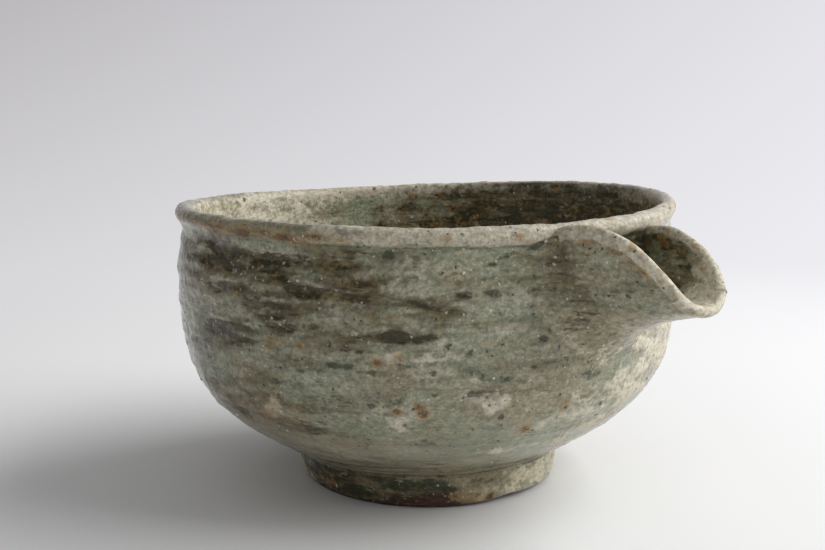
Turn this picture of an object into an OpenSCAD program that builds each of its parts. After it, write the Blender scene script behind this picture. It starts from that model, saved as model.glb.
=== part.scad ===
// Katakuchi sake pourer: a thrown stoneware bowl with a rolled rim, a turned foot ring
// and a hand-formed spout, luted on with slip over a hole pierced under the rim.
// The origin is the middle of the foot on the table, +Z is up and the spout points along +X.

/* [Bowl] */
// Height of the rim's crest above the table
bowl_height = 79; // [72:0.5:92]
// Outer diameter of the wall at its widest
belly_diameter = 140; // [128:1:152]
// Height above the table at which the wall is widest
belly_height = 62; // [58:0.5:64]
// Diameter of the flat base, where the belly springs from the foot
base_diameter = 77.5; // [75:0.5:88]
// Angle above level at which the belly leaves the base
belly_rise = 30; // [26:1:38]
// Fullness of the lower belly, as the length of the curve's guide at the base
belly_fullness = 29; // [22:0.5:32]
// Length of the curve's guide where the wall turns upright
wall_fullness = 31; // [24:0.5:36]
// Thickness of the wall
wall = 5; // [4:0.1:6.5]
// Thickness of the floor over the foot
floor_thickness = 6.5; // [5:0.1:9]
// Rounding where the floor turns up into the wall
floor_round = 6; // [3:0.5:12]

/* [Rim] */
// Outer diameter of the rolled rim
rim_diameter = 140; // [136:0.5:150]
// Thickness of the roll
rim_roll = 4.6; // [3.8:0.1:6]
// Height of the rim band, from the neck under the roll to the crest
rim_band = 6; // [5.2:0.1:7.4]
// Depth of the neck, in from the outside of the roll
neck_depth = 1.8; // [1:0.1:2.4]

/* [Foot] */
// Height of the foot, from the table to the base of the bowl
foot_height = 10; // [7:0.5:14]
// Outer diameter of the foot on the table
foot_diameter = 71.5; // [64:0.5:74]
// Outer diameter of the foot at the base of the bowl
foot_top_diameter = 75; // [70:0.5:77]
// Width of the ring that the pot stands on
foot_land = 5; // [3:0.1:8]
// Slope of the ring's inner wall, as its run over the foot's height
foot_inner_run = 1.5; // [0:0.1:3]
// Bevel round the outer edge of the land
foot_bevel = 0.8; // [0.3:0.1:1.5]

/* [Spout] */
// How far the lip stands out from the rim
spout_reach = 28.5; // [20:0.5:36]
// Height of the lip above the table, at its middle
lip_height = 60.5; // [56:0.5:66]
// Width of the lip between its corners
lip_width = 16.8; // [12:0.2:22]
// How far the lip's corners lie behind its tip
lip_setback = 3.6; // [2:0.1:6]
// How far the lip's corners rise above its middle
lip_rise = 5.4; // [3:0.1:8]
// Thickness of the lip and of the spout's top edges
lip_thickness = 2.3; // [1.6:0.1:3]
// Thickness of the spout's floor
spout_wall = 3.2; // [2.6:0.1:4.5]
// Width over the side walls where they root in the bowl
root_width = 41; // [34:0.5:48]
// Height of the spout's keel where it roots in the bowl
root_height = 45; // [40:0.5:50]
// Angle above level at which the keel leaves the bowl
keel_angle = 36; // [26:1:44]
// Angle above level at which the keel reaches the lip
lip_angle = 7; // [0:1:16]
// How far the clay at the root is drawn out over the bowl's wall
root_flare = 3.6; // [1:0.1:6]
// Length of the spout over which that flare dies away
flare_run = 11; // [6:0.5:18]
// Width between the side walls' guides at the rim
throat_width = 26; // [20:0.5:32]
// Width between the side walls' guides halfway along the spout
cheek_width = 35; // [28:0.5:42]
// Height above the rim of the guide that arches the side walls up at the rim
arch_rise = 3; // [0:0.5:6]
// Drop below the rim of the guide that carries the side walls down to the lip
cheek_drop = 2; // [0:0.5:6]
// How flat the floor becomes at the lip, where 1 is an ellipse
lip_flatness = 1.45; // [1.1:0.05:1.8]

/* [Joints] */
// Thickness of the slip that joins the foot and the spout to the bowl
slip = 0.8; // [0.4:0.1:1.4]
// How far the slip is smeared over the wall on each side of the spout's root
luting = 1.6; // [0.8:0.1:3]
// How far the slip stands proud of the foot, as a tooled bead in the crease
slip_bead = 0.7; // [0.3:0.1:1.2]
// Width of the hole pierced through the wall into the spout
hole_width = 25; // [18:0.5:28]
// Corner radius of that hole
hole_round = 8; // [4:0.5:9]
// Clay left between the hole and the spout's floor, and between the hole and the neck
hole_margin = 1.5; // [1:0.1:3]

/* [Hidden] */
$fn = 96;

// Steps along a profile curve, along the spout and across it, and round its edges
curve_steps = 26;
roll_steps = 14;
spout_steps = 18;
section_steps = 28;
nose_angles = [45, 90, 135];
lip_angles = [35, 70];

rim_r = rim_diameter / 2;
belly_r = belly_diameter / 2;
base_r = base_diameter / 2;
roll_r = rim_roll / 2;
roll_centre = [rim_r - roll_r, bowl_height - roll_r];
neck = [rim_r - neck_depth, bowl_height - rim_band];
tuck_angle = -45;
floor_top = foot_height + floor_thickness;
// How far the hole's cutter runs past the wall's two faces
overrun = 4;

// Heights of the shoulder's two guides, as shares of the way from the belly up to the neck
shoulder_low = lerp(belly_height, neck.y, 0.4);
shoulder_high = lerp(belly_height, neck.y, 0.75);

// Curves of the bowl's outside: the belly, then the shoulder drawn in to the neck
belly_curve = [
    [base_r, foot_height],
    [base_r + belly_fullness * cos(belly_rise), foot_height + belly_fullness * sin(belly_rise)],
    [belly_r, belly_height - wall_fullness],
    [belly_r, belly_height]
];
shoulder_curve = [
    [belly_r, belly_height],
    [belly_r, shoulder_low],
    [neck.x, shoulder_high],
    neck
];
// Curve of the bowl's inside, from the roll down to where the wall is widest
inner_shoulder_curve = [
    [roll_centre.x - roll_r, roll_centre.y],
    [roll_centre.x - roll_r, shoulder_high],
    [belly_r - wall, shoulder_low],
    [belly_r - wall, belly_height]
];

// Guides of the spout's middle surface: one top edge, and the keel under it
tip_x = rim_r + spout_reach - lip_thickness / 2;
root_r = rim_r - wall;
root_x = sqrt(root_r * root_r - root_width * root_width / 4);
keel_root_x = belly_r - wall - spout_wall / 2;
keel_run = tip_x - keel_root_x;
// Lengths of the keel's two guides, as shares of its run
keel_guide = 0.45 * keel_run;
lip_guide = 0.3 * keel_run;
edge_curve = [
    [root_x, root_width / 2, neck.y - lip_thickness],
    [rim_r, throat_width / 2, bowl_height + arch_rise],
    [(rim_r + tip_x) / 2, cheek_width / 2, bowl_height - cheek_drop],
    [tip_x - lip_setback, lip_width / 2, lip_height + lip_rise]
];
keel_curve = [
    [keel_root_x, 0, root_height],
    [keel_root_x + keel_guide * cos(keel_angle), 0, root_height + keel_guide * sin(keel_angle)],
    [tip_x - lip_guide * cos(lip_angle), 0, lip_height - lip_guide * sin(lip_angle)],
    [tip_x, 0, lip_height]
];

// How suddenly the spout thins towards its top edges and towards its lip
edge_thinning = 3;
lip_thinning = 4;
// Steps along and across the spout between which its directions are measured
run_step = 0.01;
across_step = 1;

// The hole lies between the spout's floor, where that meets the wall, and the neck
hole_bottom = root_height + spout_wall + (belly_r - keel_root_x) * tan(keel_angle) + hole_margin;
hole_top = neck.y - hole_margin;
hole_height = hole_top - hole_bottom;

function lerp(a, b, t) = a + (b - a) * t;
function unit(v) = v / norm(v);

// Point at t along a cubic curve with four guide points
function on_curve(p, t) =
    pow(1 - t, 3) * p[0] + 3 * t * pow(1 - t, 2) * p[1] + 3 * t * t * (1 - t) * p[2] + pow(t, 3) * p[3];

// Direction in which that curve runs at t
function along_curve(p, t) =
    unit(pow(1 - t, 2) * (p[1] - p[0]) + 2 * t * (1 - t) * (p[2] - p[1]) + t * t * (p[3] - p[2]));

// Point of the belly's inside: the outside moved in by the wall's thickness
function inside_belly(t) =
    let (run = along_curve(belly_curve, t))
    on_curve(belly_curve, t) + wall * [-run.y, run.x];

// Height of the inside where it runs out smoothly onto the floor
function eased_floor(z) =
    let (above = z - floor_top)
    floor_top + (above + sqrt(above * above + floor_round * floor_round)) / 2;

// Outline of the bowl's outside, from the base up to the roll
function outside_points() = concat(
    [for (i = [0:curve_steps]) on_curve(belly_curve, i / curve_steps)],
    [for (i = [1:curve_steps / 2]) on_curve(shoulder_curve, 2 * i / curve_steps)]
);

// Outline of the roll, from under its outside over the crest to the inside
function roll_points() = [
    for (i = [0:roll_steps])
        let (angle = lerp(tuck_angle, 180, i / roll_steps))
        roll_centre + roll_r * [cos(angle), sin(angle)]
];

// Outline of the bowl's inside, from under the roll down to the middle of the floor
function inside_points() =
    let (low = inside_belly(0), fall = tan(belly_rise))
    concat(
        [for (i = [1:curve_steps / 2]) on_curve(inner_shoulder_curve, 2 * i / curve_steps)],
        [for (i = [1:curve_steps])
            let (p = inside_belly(1 - i / curve_steps))
            [p.x, eased_floor(p.y)]],
        [for (i = [1:curve_steps / 2])
            let (x = low.x * (1 - 2 * i / curve_steps))
            [x, eased_floor(low.y - (low.x - x) * fall)]]
    );

// Solid inside the bowl's outer surface, grown sideways by a layer
module outer_body(layer) {
    outline = concat(outside_points(), [for (p = roll_points()) if (p.x >= roll_centre.x) p]);
    rotate_extrude()
        polygon(concat(
            [[0, foot_height]],
            [for (p = outline) [p.x + layer, p.y]],
            [[0, bowl_height]]
        ));
}

// Cutter for the hole into the spout, with round corners
module spout_hole() {
    inner_width = hole_width - 2 * hole_round;
    inner_height = hole_height - 2 * hole_round;
    translate([rim_r - wall - 2 * overrun, 0, (hole_bottom + hole_top) / 2])
        rotate([90, 0, 90])
            linear_extrude(wall + 3 * overrun) {
                square([inner_width, hole_height], center = true);
                square([hole_width, inner_height], center = true);
                for (x = [-1, 1], y = [-1, 1])
                    translate([x * inner_width / 2, y * inner_height / 2])
                        circle(hole_round);
            }
}

// Point of the spout's middle surface: s runs from root to lip, and a across it in degrees
function spout_middle(s, a) =
    let (
        edge = on_curve(edge_curve, s),
        keel = on_curve(keel_curve, s),
        rise = 1 - pow(cos(a), lerp(1, lip_flatness, s))
    )
    [lerp(keel.x, edge.x, rise), edge.y * sin(a), lerp(keel.z, edge.z, rise)];

// Directions on that surface: along the spout, and across it
function spout_run(s, a) =
    unit(spout_middle(min(s + run_step, 1), a) - spout_middle(max(s - run_step, 0), a));
function spout_across(s, a) =
    unit(spout_middle(s, min(a + across_step, 90)) - spout_middle(s, max(a - across_step, -90)));

// Half the thickness of the spout, which thins towards its edges and its lip
function spout_half(s, a) =
    lerp(spout_wall, lip_thickness, max(pow(abs(a) / 90, edge_thinning), pow(s, lip_thinning))) / 2;

// Extra thickness of the outer face at the root, full at the wall and gone after the flare's run
function root_spread(s) =
    let (past_wall = max(0, s * keel_run - (belly_r - keel_root_x)))
    root_flare * pow(max(0, 1 - past_wall / flare_run), 2);

// One closed ring of points round the spout's section, widened by a layer on both faces
function spout_ring(s, tip, layer) =
    let (angles = [for (i = [0:section_steps]) lerp(-90, 90, i / section_steps)])
    concat(
        [for (a = angles) spout_skin(s, a, 0, tip, layer)],
        [for (b = nose_angles) spout_skin(s, 90, b, tip, layer)],
        [for (a = angles) spout_skin(s, -a, 180, tip, layer)],
        [for (b = nose_angles) spout_skin(s, -90, 180 + b, tip, layer)]
    );

// Point of the skin: turn goes round the edge, and tip goes over the lip, both in degrees
function spout_skin(s, a, turn, tip, layer) =
    let (
        run = spout_run(s, a),
        across = spout_across(s, a),
        out = unit(cross(across, run)),
        half = spout_half(s, a),
        face = half + layer + (cos(turn) > 0 ? root_spread(s) : 0)
    )
    spout_middle(s, a) + run * half * sin(tip)
        + cos(tip) * (face * cos(turn) * out + half * sin(turn) * across);

// The spout as one closed sheet that starts inside the bowl's wall
module spout_sheet(layer) {
    rings = concat(
        [for (i = [0:spout_steps]) spout_ring(i / spout_steps, 0, layer)],
        [for (tip = lip_angles) spout_ring(1, tip, layer)]
    );
    n = len(rings[0]);
    last = len(rings) - 1;
    half_ring = n / 2;
    polyhedron(
        points = [for (ring = rings, p = ring) p],
        faces = concat(
            [for (i = [0:last - 1], j = [0:n - 1])
                [i * n + j, (i + 1) * n + j, i * n + (j + 1) % n]],
            [for (i = [0:last - 1], j = [0:n - 1])
                [i * n + (j + 1) % n, (i + 1) * n + j, (i + 1) * n + (j + 1) % n]],
            cap_faces(0, half_ring, true),
            cap_faces(last * n, half_ring, false)
        ),
        convexity = 6
    );
}

// Triangles that close one end ring, as a strip between its outer and its inner half
function cap_faces(first, half_ring, flipped) =
    let (
        edge = len(nose_angles),
        count = 2 * half_ring,
        pairs = [for (j = [-edge + 1:section_steps + edge - 1])
            [first + (j + count) % count, first + (count + section_steps - j + half_ring) % count]]
    )
    [for (j = [0:len(pairs) - 2], half = [0, 1])
        let (face = half == 0
            ? [pairs[j][0], pairs[j][1], pairs[j + 1][0]]
            : [pairs[j][1], pairs[j + 1][1], pairs[j + 1][0]])
        flipped ? [face[2], face[1], face[0]] : face];

module bowl() {
    color("#8d8c7c")
        difference() {
            rotate_extrude()
                polygon(concat([[0, foot_height]], outside_points(), roll_points(), inside_points()));
            spout_hole();
        }
}

module foot_ring() {
    foot_r = foot_diameter / 2;
    land_r = foot_r - foot_land;
    top = foot_height - slip;
    color("#6f6a58")
        rotate_extrude()
            polygon([
                [land_r, 0],
                [foot_r - foot_bevel, 0],
                [foot_r, foot_bevel],
                [foot_top_diameter / 2, top],
                [land_r - foot_inner_run, top]
            ]);
}

module foot_slip() {
    outer_r = foot_top_diameter / 2;
    inner_r = foot_diameter / 2 - foot_land - foot_inner_run;
    color("#5b5f4e")
        rotate_extrude()
            polygon([
                [inner_r, foot_height - slip],
                [outer_r, foot_height - slip],
                [outer_r + slip_bead, foot_height - slip / 2],
                [outer_r + slip_bead, foot_height],
                [inner_r, foot_height]
            ]);
}

module spout() {
    color("#86857a")
        difference() {
            spout_sheet(0);
            outer_body(slip);
        }
}

module spout_slip() {
    color("#6b6a5a")
        difference() {
            intersection() {
                spout_sheet(luting);
                outer_body(slip);
            }
            outer_body(0);
            spout_hole();
        }
}

bowl();
foot_ring();
foot_slip();
spout();
spout_slip();
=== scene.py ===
"""Katakuchi sake pourer over its CAD frame: glazed bowl, foot, spout, slip and the grit in the clay."""

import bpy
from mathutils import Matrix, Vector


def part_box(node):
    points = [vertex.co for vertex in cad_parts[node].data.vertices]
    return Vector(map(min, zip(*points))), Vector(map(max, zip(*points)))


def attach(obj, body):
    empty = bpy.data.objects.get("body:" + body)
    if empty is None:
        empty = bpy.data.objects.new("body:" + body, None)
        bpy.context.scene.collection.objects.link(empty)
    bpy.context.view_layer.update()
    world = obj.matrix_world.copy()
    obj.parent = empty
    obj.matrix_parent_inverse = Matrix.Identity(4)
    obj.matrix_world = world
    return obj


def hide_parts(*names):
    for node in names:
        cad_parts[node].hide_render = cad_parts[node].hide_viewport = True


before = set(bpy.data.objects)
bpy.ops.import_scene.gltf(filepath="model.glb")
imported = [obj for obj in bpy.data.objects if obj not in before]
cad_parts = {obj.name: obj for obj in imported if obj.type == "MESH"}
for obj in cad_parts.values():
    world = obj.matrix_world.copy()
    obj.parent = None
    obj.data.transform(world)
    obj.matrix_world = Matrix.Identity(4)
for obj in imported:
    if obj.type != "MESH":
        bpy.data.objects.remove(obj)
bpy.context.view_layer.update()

import math

import bmesh
import bpy
import numpy as np
from mathutils import Vector, noise

bl_info = {
    "name": "Katakuchi Sake Pourer",
    "version": (1, 0, 0),
    "blender": (4, 5, 0),
    "location": "View3D > Sidebar > Pourer",
    "description": "Builds a hand-thrown, ash-glazed sake pourer over its CAD frame",
    "category": "Add Mesh",
}

MM = 0.001
BODY = "root"
BOWL_LOW, BOWL_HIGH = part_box("bowl")
FOOT_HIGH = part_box("foot_ring")[1]
SLIP_LOW, SLIP_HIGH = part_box("foot_slip")
SPOUT_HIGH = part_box("spout")[1]


def paint(red, green, blue):
    """A colour given as 0 to 255 on a screen, as the linear values that shaders take."""
    shares = [value / 255 for value in (red, green, blue)]
    return tuple(s / 12.92 if s <= 0.04045 else ((s + 0.055) / 1.055) ** 2.4 for s in shares)


# What a user would change

def length(name, description, default):
    """A length in metres."""
    return bpy.props.FloatProperty(
        name=name, description=description, default=default, precision=4, unit="LENGTH")


def share(name, description, default):
    """A plain number, such as a share or a strength."""
    return bpy.props.FloatProperty(name=name, description=description, default=default, precision=3)


def colour(name, description, default):
    """A surface colour."""
    return bpy.props.FloatVectorProperty(
        name=name, description=description, default=default, size=3, subtype="COLOR", min=0, max=1)


class PourerSizes(bpy.types.PropertyGroup):
    """Sizes of the pot, as thrown and before the hand's slips."""

    bowl_height: length("Bowl height", "Height of the rim's crest above the table", BOWL_HIGH.z)
    rim_radius: length("Rim radius", "Outer radius of the rolled rim", BOWL_HIGH.y)
    rim_roll: length("Rim roll", "Thickness of the rolled rim", 4.6 * MM)
    rim_band: length("Rim band", "Height from the neck under the roll to the crest", 6 * MM)
    neck_depth: length("Neck depth", "Depth of the neck, in from the outside of the roll", 1.8 * MM)
    belly_radius: length("Belly radius", "Outer radius of the wall at its widest", 70 * MM)
    belly_height: length("Belly height", "Height at which the wall is widest", 62 * MM)
    base_radius: length(
        "Base radius", "Radius of the base, where the belly springs from the foot", 38.75 * MM)
    belly_rise: bpy.props.FloatProperty(
        name="Belly rise", description="Angle above level at which the belly leaves the base",
        default=math.radians(30), subtype="ANGLE")
    belly_fullness: length("Belly fullness", "Length of the belly curve's guide at the base", 29 * MM)
    wall_fullness: length("Wall fullness", "Length of that curve's guide where the wall is upright", 31 * MM)
    wall: length("Wall", "Thickness of the wall", 5 * MM)
    floor_thickness: length("Floor thickness", "Thickness of the floor over the foot", 6.5 * MM)
    floor_round: length("Floor round", "Rounding where the floor turns up into the wall", 6 * MM)
    foot_height: length("Foot height", "Height of the base above the table", BOWL_LOW.z)
    foot_radius: length("Foot radius", "Outer radius of the foot on the table", 35.75 * MM)
    foot_top_radius: length("Foot top radius", "Outer radius of the foot at the base", FOOT_HIGH.x)
    foot_land: length("Foot land", "Width of the ring that the pot stands on", 5 * MM)
    foot_inner_run: length("Foot inner run", "Slope of the ring's inner wall", 1.5 * MM)
    spout_reach: length(
        "Spout reach", "How far the lip stands out from the rim", SPOUT_HIGH.x - BOWL_HIGH.y)
    lip_height: length("Lip height", "Height of the lip at its middle", 60.3 * MM)
    lip_thickness: length("Lip thickness", "Thickness of the lip and of the spout's edges", 2.7 * MM)
    spout_wall: length("Spout wall", "Thickness of the spout's floor", 3.2 * MM)
    root_width: length("Root width", "Width of the spout where it roots in the bowl", 41 * MM)
    root_height: length("Root height", "Height of the spout's keel where it roots in the bowl", 45 * MM)
    hole_width: length("Hole width", "Width of the hole pierced into the spout", 25 * MM)
    hole_height: length("Hole height", "Height of that hole", 17 * MM)
    hole_middle: length("Hole middle", "Height of the hole's middle above the table", 63 * MM)
    lean: share("Lean", "How far the pot leans in firing, as a slope", 0.018)
    grain: length("Grain", "Radius of the largest feldspar grain", 0.6 * MM)


class PourerGlaze(bpy.types.PropertyGroup):
    """Colours of the ash glaze, the stains in it and the clay under it."""

    celadon: colour("Celadon", "Glaze where it lies thick and even", paint(144, 147, 124))
    ash: colour("Ash grey", "Glaze where it lies thin over the clay", paint(147, 138, 114))
    # Milky film also paints highlights: on the torn ridges and along the smear's middle
    film: colour("Milky film", "Glaze clouded by ash", paint(178, 174, 155))
    umber: colour("Umber", "Glaze with a wash of iron over a broad patch", paint(92, 82, 54))
    # Olive also paints shade: over the inside's side towards the window and down the spout's trough
    olive: colour("Olive", "Glaze stained by the iron in the clay", paint(52, 48, 28))
    # Cream also paints light: over the spout's floor by the lip
    cream: colour("Cream", "Dry crust where ash settled", paint(206, 200, 180))
    # Pool green also paints shade: over the belly just above the foot and, with pooled glaze, at the smear's
    # upper crease
    pool: colour("Pool green", "Glaze pooled in hollows and creases", paint(53, 63, 44))
    pit: colour("Pit", "Shadowed green in the pits", paint(48, 54, 46))
    ochre: colour("Ochre", "Fringe of an iron spot", paint(154, 120, 70))
    iron: colour("Iron brown", "Iron spots and stains", paint(88, 66, 43))
    tan: colour("Tan", "Thin glaze along worn edges", paint(189, 181, 163))
    clay: colour("Bare clay", "Clay that the glaze left bare", paint(88, 66, 60))
    feldspar: colour("Feldspar", "Grains melted out of the clay", paint(214, 212, 202))


class PourerStage(bpy.types.PropertyGroup):
    """The floor, the light and the camera."""

    floor: colour("Floor", "Colour of the floor", paint(239, 239, 240))
    back_left_high: colour(
        "Background, upper left", "Background away from the window", paint(186, 184, 187))
    back_right_high: colour(
        "Background, upper right", "Background near the window", paint(228, 227, 232))
    back_left_low: colour(
        "Background, lower left", "Background low down, away from the window", paint(217, 216, 219))
    back_right_low: colour(
        "Background, lower right", "Background low down, near the window", paint(239, 238, 242))
    key: bpy.props.FloatProperty(
        name="Window light", description="Power of the large soft light", default=22.5, unit="POWER")
    fill: share("Fill", "Strength of the light from all round", 0.345)
    room: share("Dark room", "Share of the fill that the glaze reflects from the room's unlit side", 0.25)
    camera_distance: length("Camera distance", "From the pot's axis to the camera, level", 325.6 * MM)
    camera_height: length("Camera height", "Height of the camera above the table", 107.9 * MM)


# Curves and noise

def unit(vectors):
    """Vectors scaled to a length of one."""
    return vectors / np.maximum(np.linalg.norm(vectors, axis=-1, keepdims=True), 1e-12)


def smooth_step(value, low, high):
    """From 0 at low to 1 at high, easing in and out."""
    t = np.clip((value - low) / (high - low), 0, 1)
    return t * t * (3 - 2 * t)


def lerp(first, second, t):
    """The value at t on the way from first to second."""
    return first + (second - first) * t


def cubic(guides, t):
    """Points at t along a cubic curve with four guide points."""
    t = np.asarray(t, float)[..., None]
    a, b, c, d = (np.asarray(guide, float) for guide in guides)
    return (1 - t) ** 3 * a + 3 * t * (1 - t) ** 2 * b + 3 * t * t * (1 - t) * c + t ** 3 * d


def cubic_run(guides, t):
    """Directions in which that curve runs at t."""
    t = np.asarray(t, float)[..., None]
    a, b, c, d = (np.asarray(guide, float) for guide in guides)
    return unit((1 - t) ** 2 * (b - a) + 2 * t * (1 - t) * (c - b) + t * t * (d - c))


def respaced(line, spacing):
    """The line's points set again at an even spacing, with both its ends kept."""
    run = np.concatenate([[0], np.cumsum(np.linalg.norm(np.diff(line, axis=0), axis=1))])
    count = max(2, round(run[-1] / spacing) + 1)
    places = np.linspace(0, run[-1], count)
    return np.stack([np.interp(places, run, line[:, k]) for k in range(line.shape[1])], axis=1)


# How far apart the noises of two seeds are taken
SEED_STEP = 17.3


def hand_noise(points, wide, tall, seed):
    """Smooth noise from about -1 to 1 at each point, with features so many mm wide and tall."""
    scaled = points / (MM * np.array([wide, wide, tall], float)) + SEED_STEP * seed
    return np.array([noise.noise(p) for p in scaled.tolist()])


def hump(value, middle, width):
    """1 at the middle, falling away to 0 on both sides."""
    return np.exp(-((value - middle) / width) ** 2)


def from_axis(points):
    """Distance of each point from the pot's axis."""
    return np.hypot(points[:, 0], points[:, 1])


def degrees_round(points):
    """Degrees of each point round from the spout."""
    return np.degrees(np.arctan2(points[:, 1], points[:, 0]))


# The bowl's section

def belly_guides(sizes):
    """Guides of the bowl's outside, from the base to where the wall is widest."""
    rise = sizes.belly_rise
    return [
        (sizes.base_radius, sizes.foot_height),
        (sizes.base_radius + sizes.belly_fullness * math.cos(rise),
         sizes.foot_height + sizes.belly_fullness * math.sin(rise)),
        (sizes.belly_radius, sizes.belly_height - sizes.wall_fullness),
        (sizes.belly_radius, sizes.belly_height),
    ]


# Steps along the curves of the section, and where the shoulder's guides stand between belly and neck
CURVE_STEPS = 80
FLOOR_STEPS = 40
ROLL_STEPS = 40
ROLL_SPAN = (-45, 180)
SHOULDER_GUIDES = (0.4, 0.75)


def shoulder_heights(sizes):
    """Heights of the shoulder's two guides."""
    neck_height = sizes.bowl_height - sizes.rim_band
    return [lerp(sizes.belly_height, neck_height, part) for part in SHOULDER_GUIDES]


def outside_line(sizes):
    """The bowl's outside, from the base up to the neck under the roll."""
    neck = (sizes.rim_radius - sizes.neck_depth, sizes.bowl_height - sizes.rim_band)
    low, high = shoulder_heights(sizes)
    widest = sizes.belly_radius
    shoulder = [(widest, sizes.belly_height), (widest, low), (neck[0], high), neck]
    t = np.linspace(0, 1, CURVE_STEPS)
    return np.concatenate([cubic(belly_guides(sizes), t), cubic(shoulder, t[1:])])


def roll_line(sizes):
    """The rolled rim, from under its outside over the crest to its inside."""
    radius = sizes.rim_roll / 2
    angle = np.radians(np.linspace(*ROLL_SPAN, ROLL_STEPS))
    middle = np.array([sizes.rim_radius - radius, sizes.bowl_height - radius])
    return middle + radius * np.stack([np.cos(angle), np.sin(angle)], axis=1)


def inside_line(sizes):
    """The bowl's inside, from under the roll down to the middle of the floor."""
    low, high = shoulder_heights(sizes)
    top = roll_line(sizes)[-1]
    inner = sizes.belly_radius - sizes.wall
    shoulder = [top, (top[0], high), (inner, low), (inner, sizes.belly_height)]
    t = np.linspace(1, 0, CURVE_STEPS)
    run = cubic_run(belly_guides(sizes), t)
    belly = cubic(belly_guides(sizes), t) + sizes.wall * np.stack([-run[:, 1], run[:, 0]], axis=1)
    across = belly[-1, 0] * np.linspace(1, 0, FLOOR_STEPS)[1:]
    fall = belly[-1, 1] - (belly[-1, 0] - across) * math.tan(sizes.belly_rise)
    line = np.concatenate([belly, np.stack([across, fall], axis=1)])
    floor_top = sizes.foot_height + sizes.floor_thickness
    above = line[:, 1] - floor_top
    line[:, 1] = floor_top + (above + np.sqrt(above ** 2 + sizes.floor_round ** 2)) / 2
    return np.concatenate([cubic(shoulder, t[::-1])[1:-1], line])


def wall_radius(sizes, height):
    """Outer radius of the bowl at a height, over the belly, the neck and the roll."""
    roll = roll_line(sizes)
    outer = roll[roll[:, 1] > sizes.bowl_height - sizes.rim_roll / 2]
    outer = outer[outer[:, 0] > sizes.rim_radius - sizes.rim_roll / 2]
    line = np.concatenate([outside_line(sizes), outer])
    return np.interp(height, line[:, 1], line[:, 0])


# How the hand and the fire left the pot

# The pot leans and is oval along a direction this far round from the spout
LEAN_AZIMUTH = math.radians(50)
# How far the rim shifts, and how far it waves up and down and swells, as cosine and sine parts
RIM_SHIFT = -0.6 * MM
RIM_WAVE = (0.65 * MM, 0.88 * MM)
RIM_OVAL = (-0.30 * MM, 0.64 * MM)
# How far the lip is rolled to one side, about which height, and where along the spout the roll comes in
SPOUT_ROLL = math.radians(7.95)
ROLL_HEIGHT = 62 * MM
ROLL_START = 76 * MM
ROLL_RUN = 20 * MM
# The foot stays flat on the table, and the lean comes in between these heights
LEAN_FROM = (1.5 * MM, 10 * MM)


def hand_warp(sizes, points):
    """Points of the true pot, moved as the maker's hand and the kiln left it."""
    moved = points.copy()
    turn = SPOUT_ROLL * np.clip((from_axis(moved) - ROLL_START) / ROLL_RUN, 0, 1)
    turn = turn * (moved[:, 0] > 0)
    side = moved[:, 1].copy()
    lift = moved[:, 2] - ROLL_HEIGHT
    moved[:, 1] = np.cos(turn) * side + np.sin(turn) * lift
    moved[:, 2] = ROLL_HEIGHT - np.sin(turn) * side + np.cos(turn) * lift
    angle = np.arctan2(moved[:, 1], moved[:, 0]) - LEAN_AZIMUTH
    radius = from_axis(moved)
    height = moved[:, 2] / sizes.bowl_height
    out = radius / sizes.rim_radius
    wave = RIM_WAVE[0] * np.cos(2 * angle) + RIM_WAVE[1] * np.sin(2 * angle)
    oval = RIM_OVAL[0] * np.cos(2 * angle) + RIM_OVAL[1] * np.sin(2 * angle)
    along = radius * np.cos(angle)
    free = smooth_step(moved[:, 2], *LEAN_FROM)
    moved[:, 2] += wave * out ** 2 * height ** 2 + sizes.lean * along * free
    grown = 1 + oval * np.maximum(height, 0) ** 1.5 * out / np.maximum(radius, MM)
    moved[:, :2] *= grown[:, None]
    moved[:, 0] += RIM_SHIFT * height * math.cos(LEAN_AZIMUTH)
    moved[:, 1] += RIM_SHIFT * height * math.sin(LEAN_AZIMUTH)
    return moved


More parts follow.
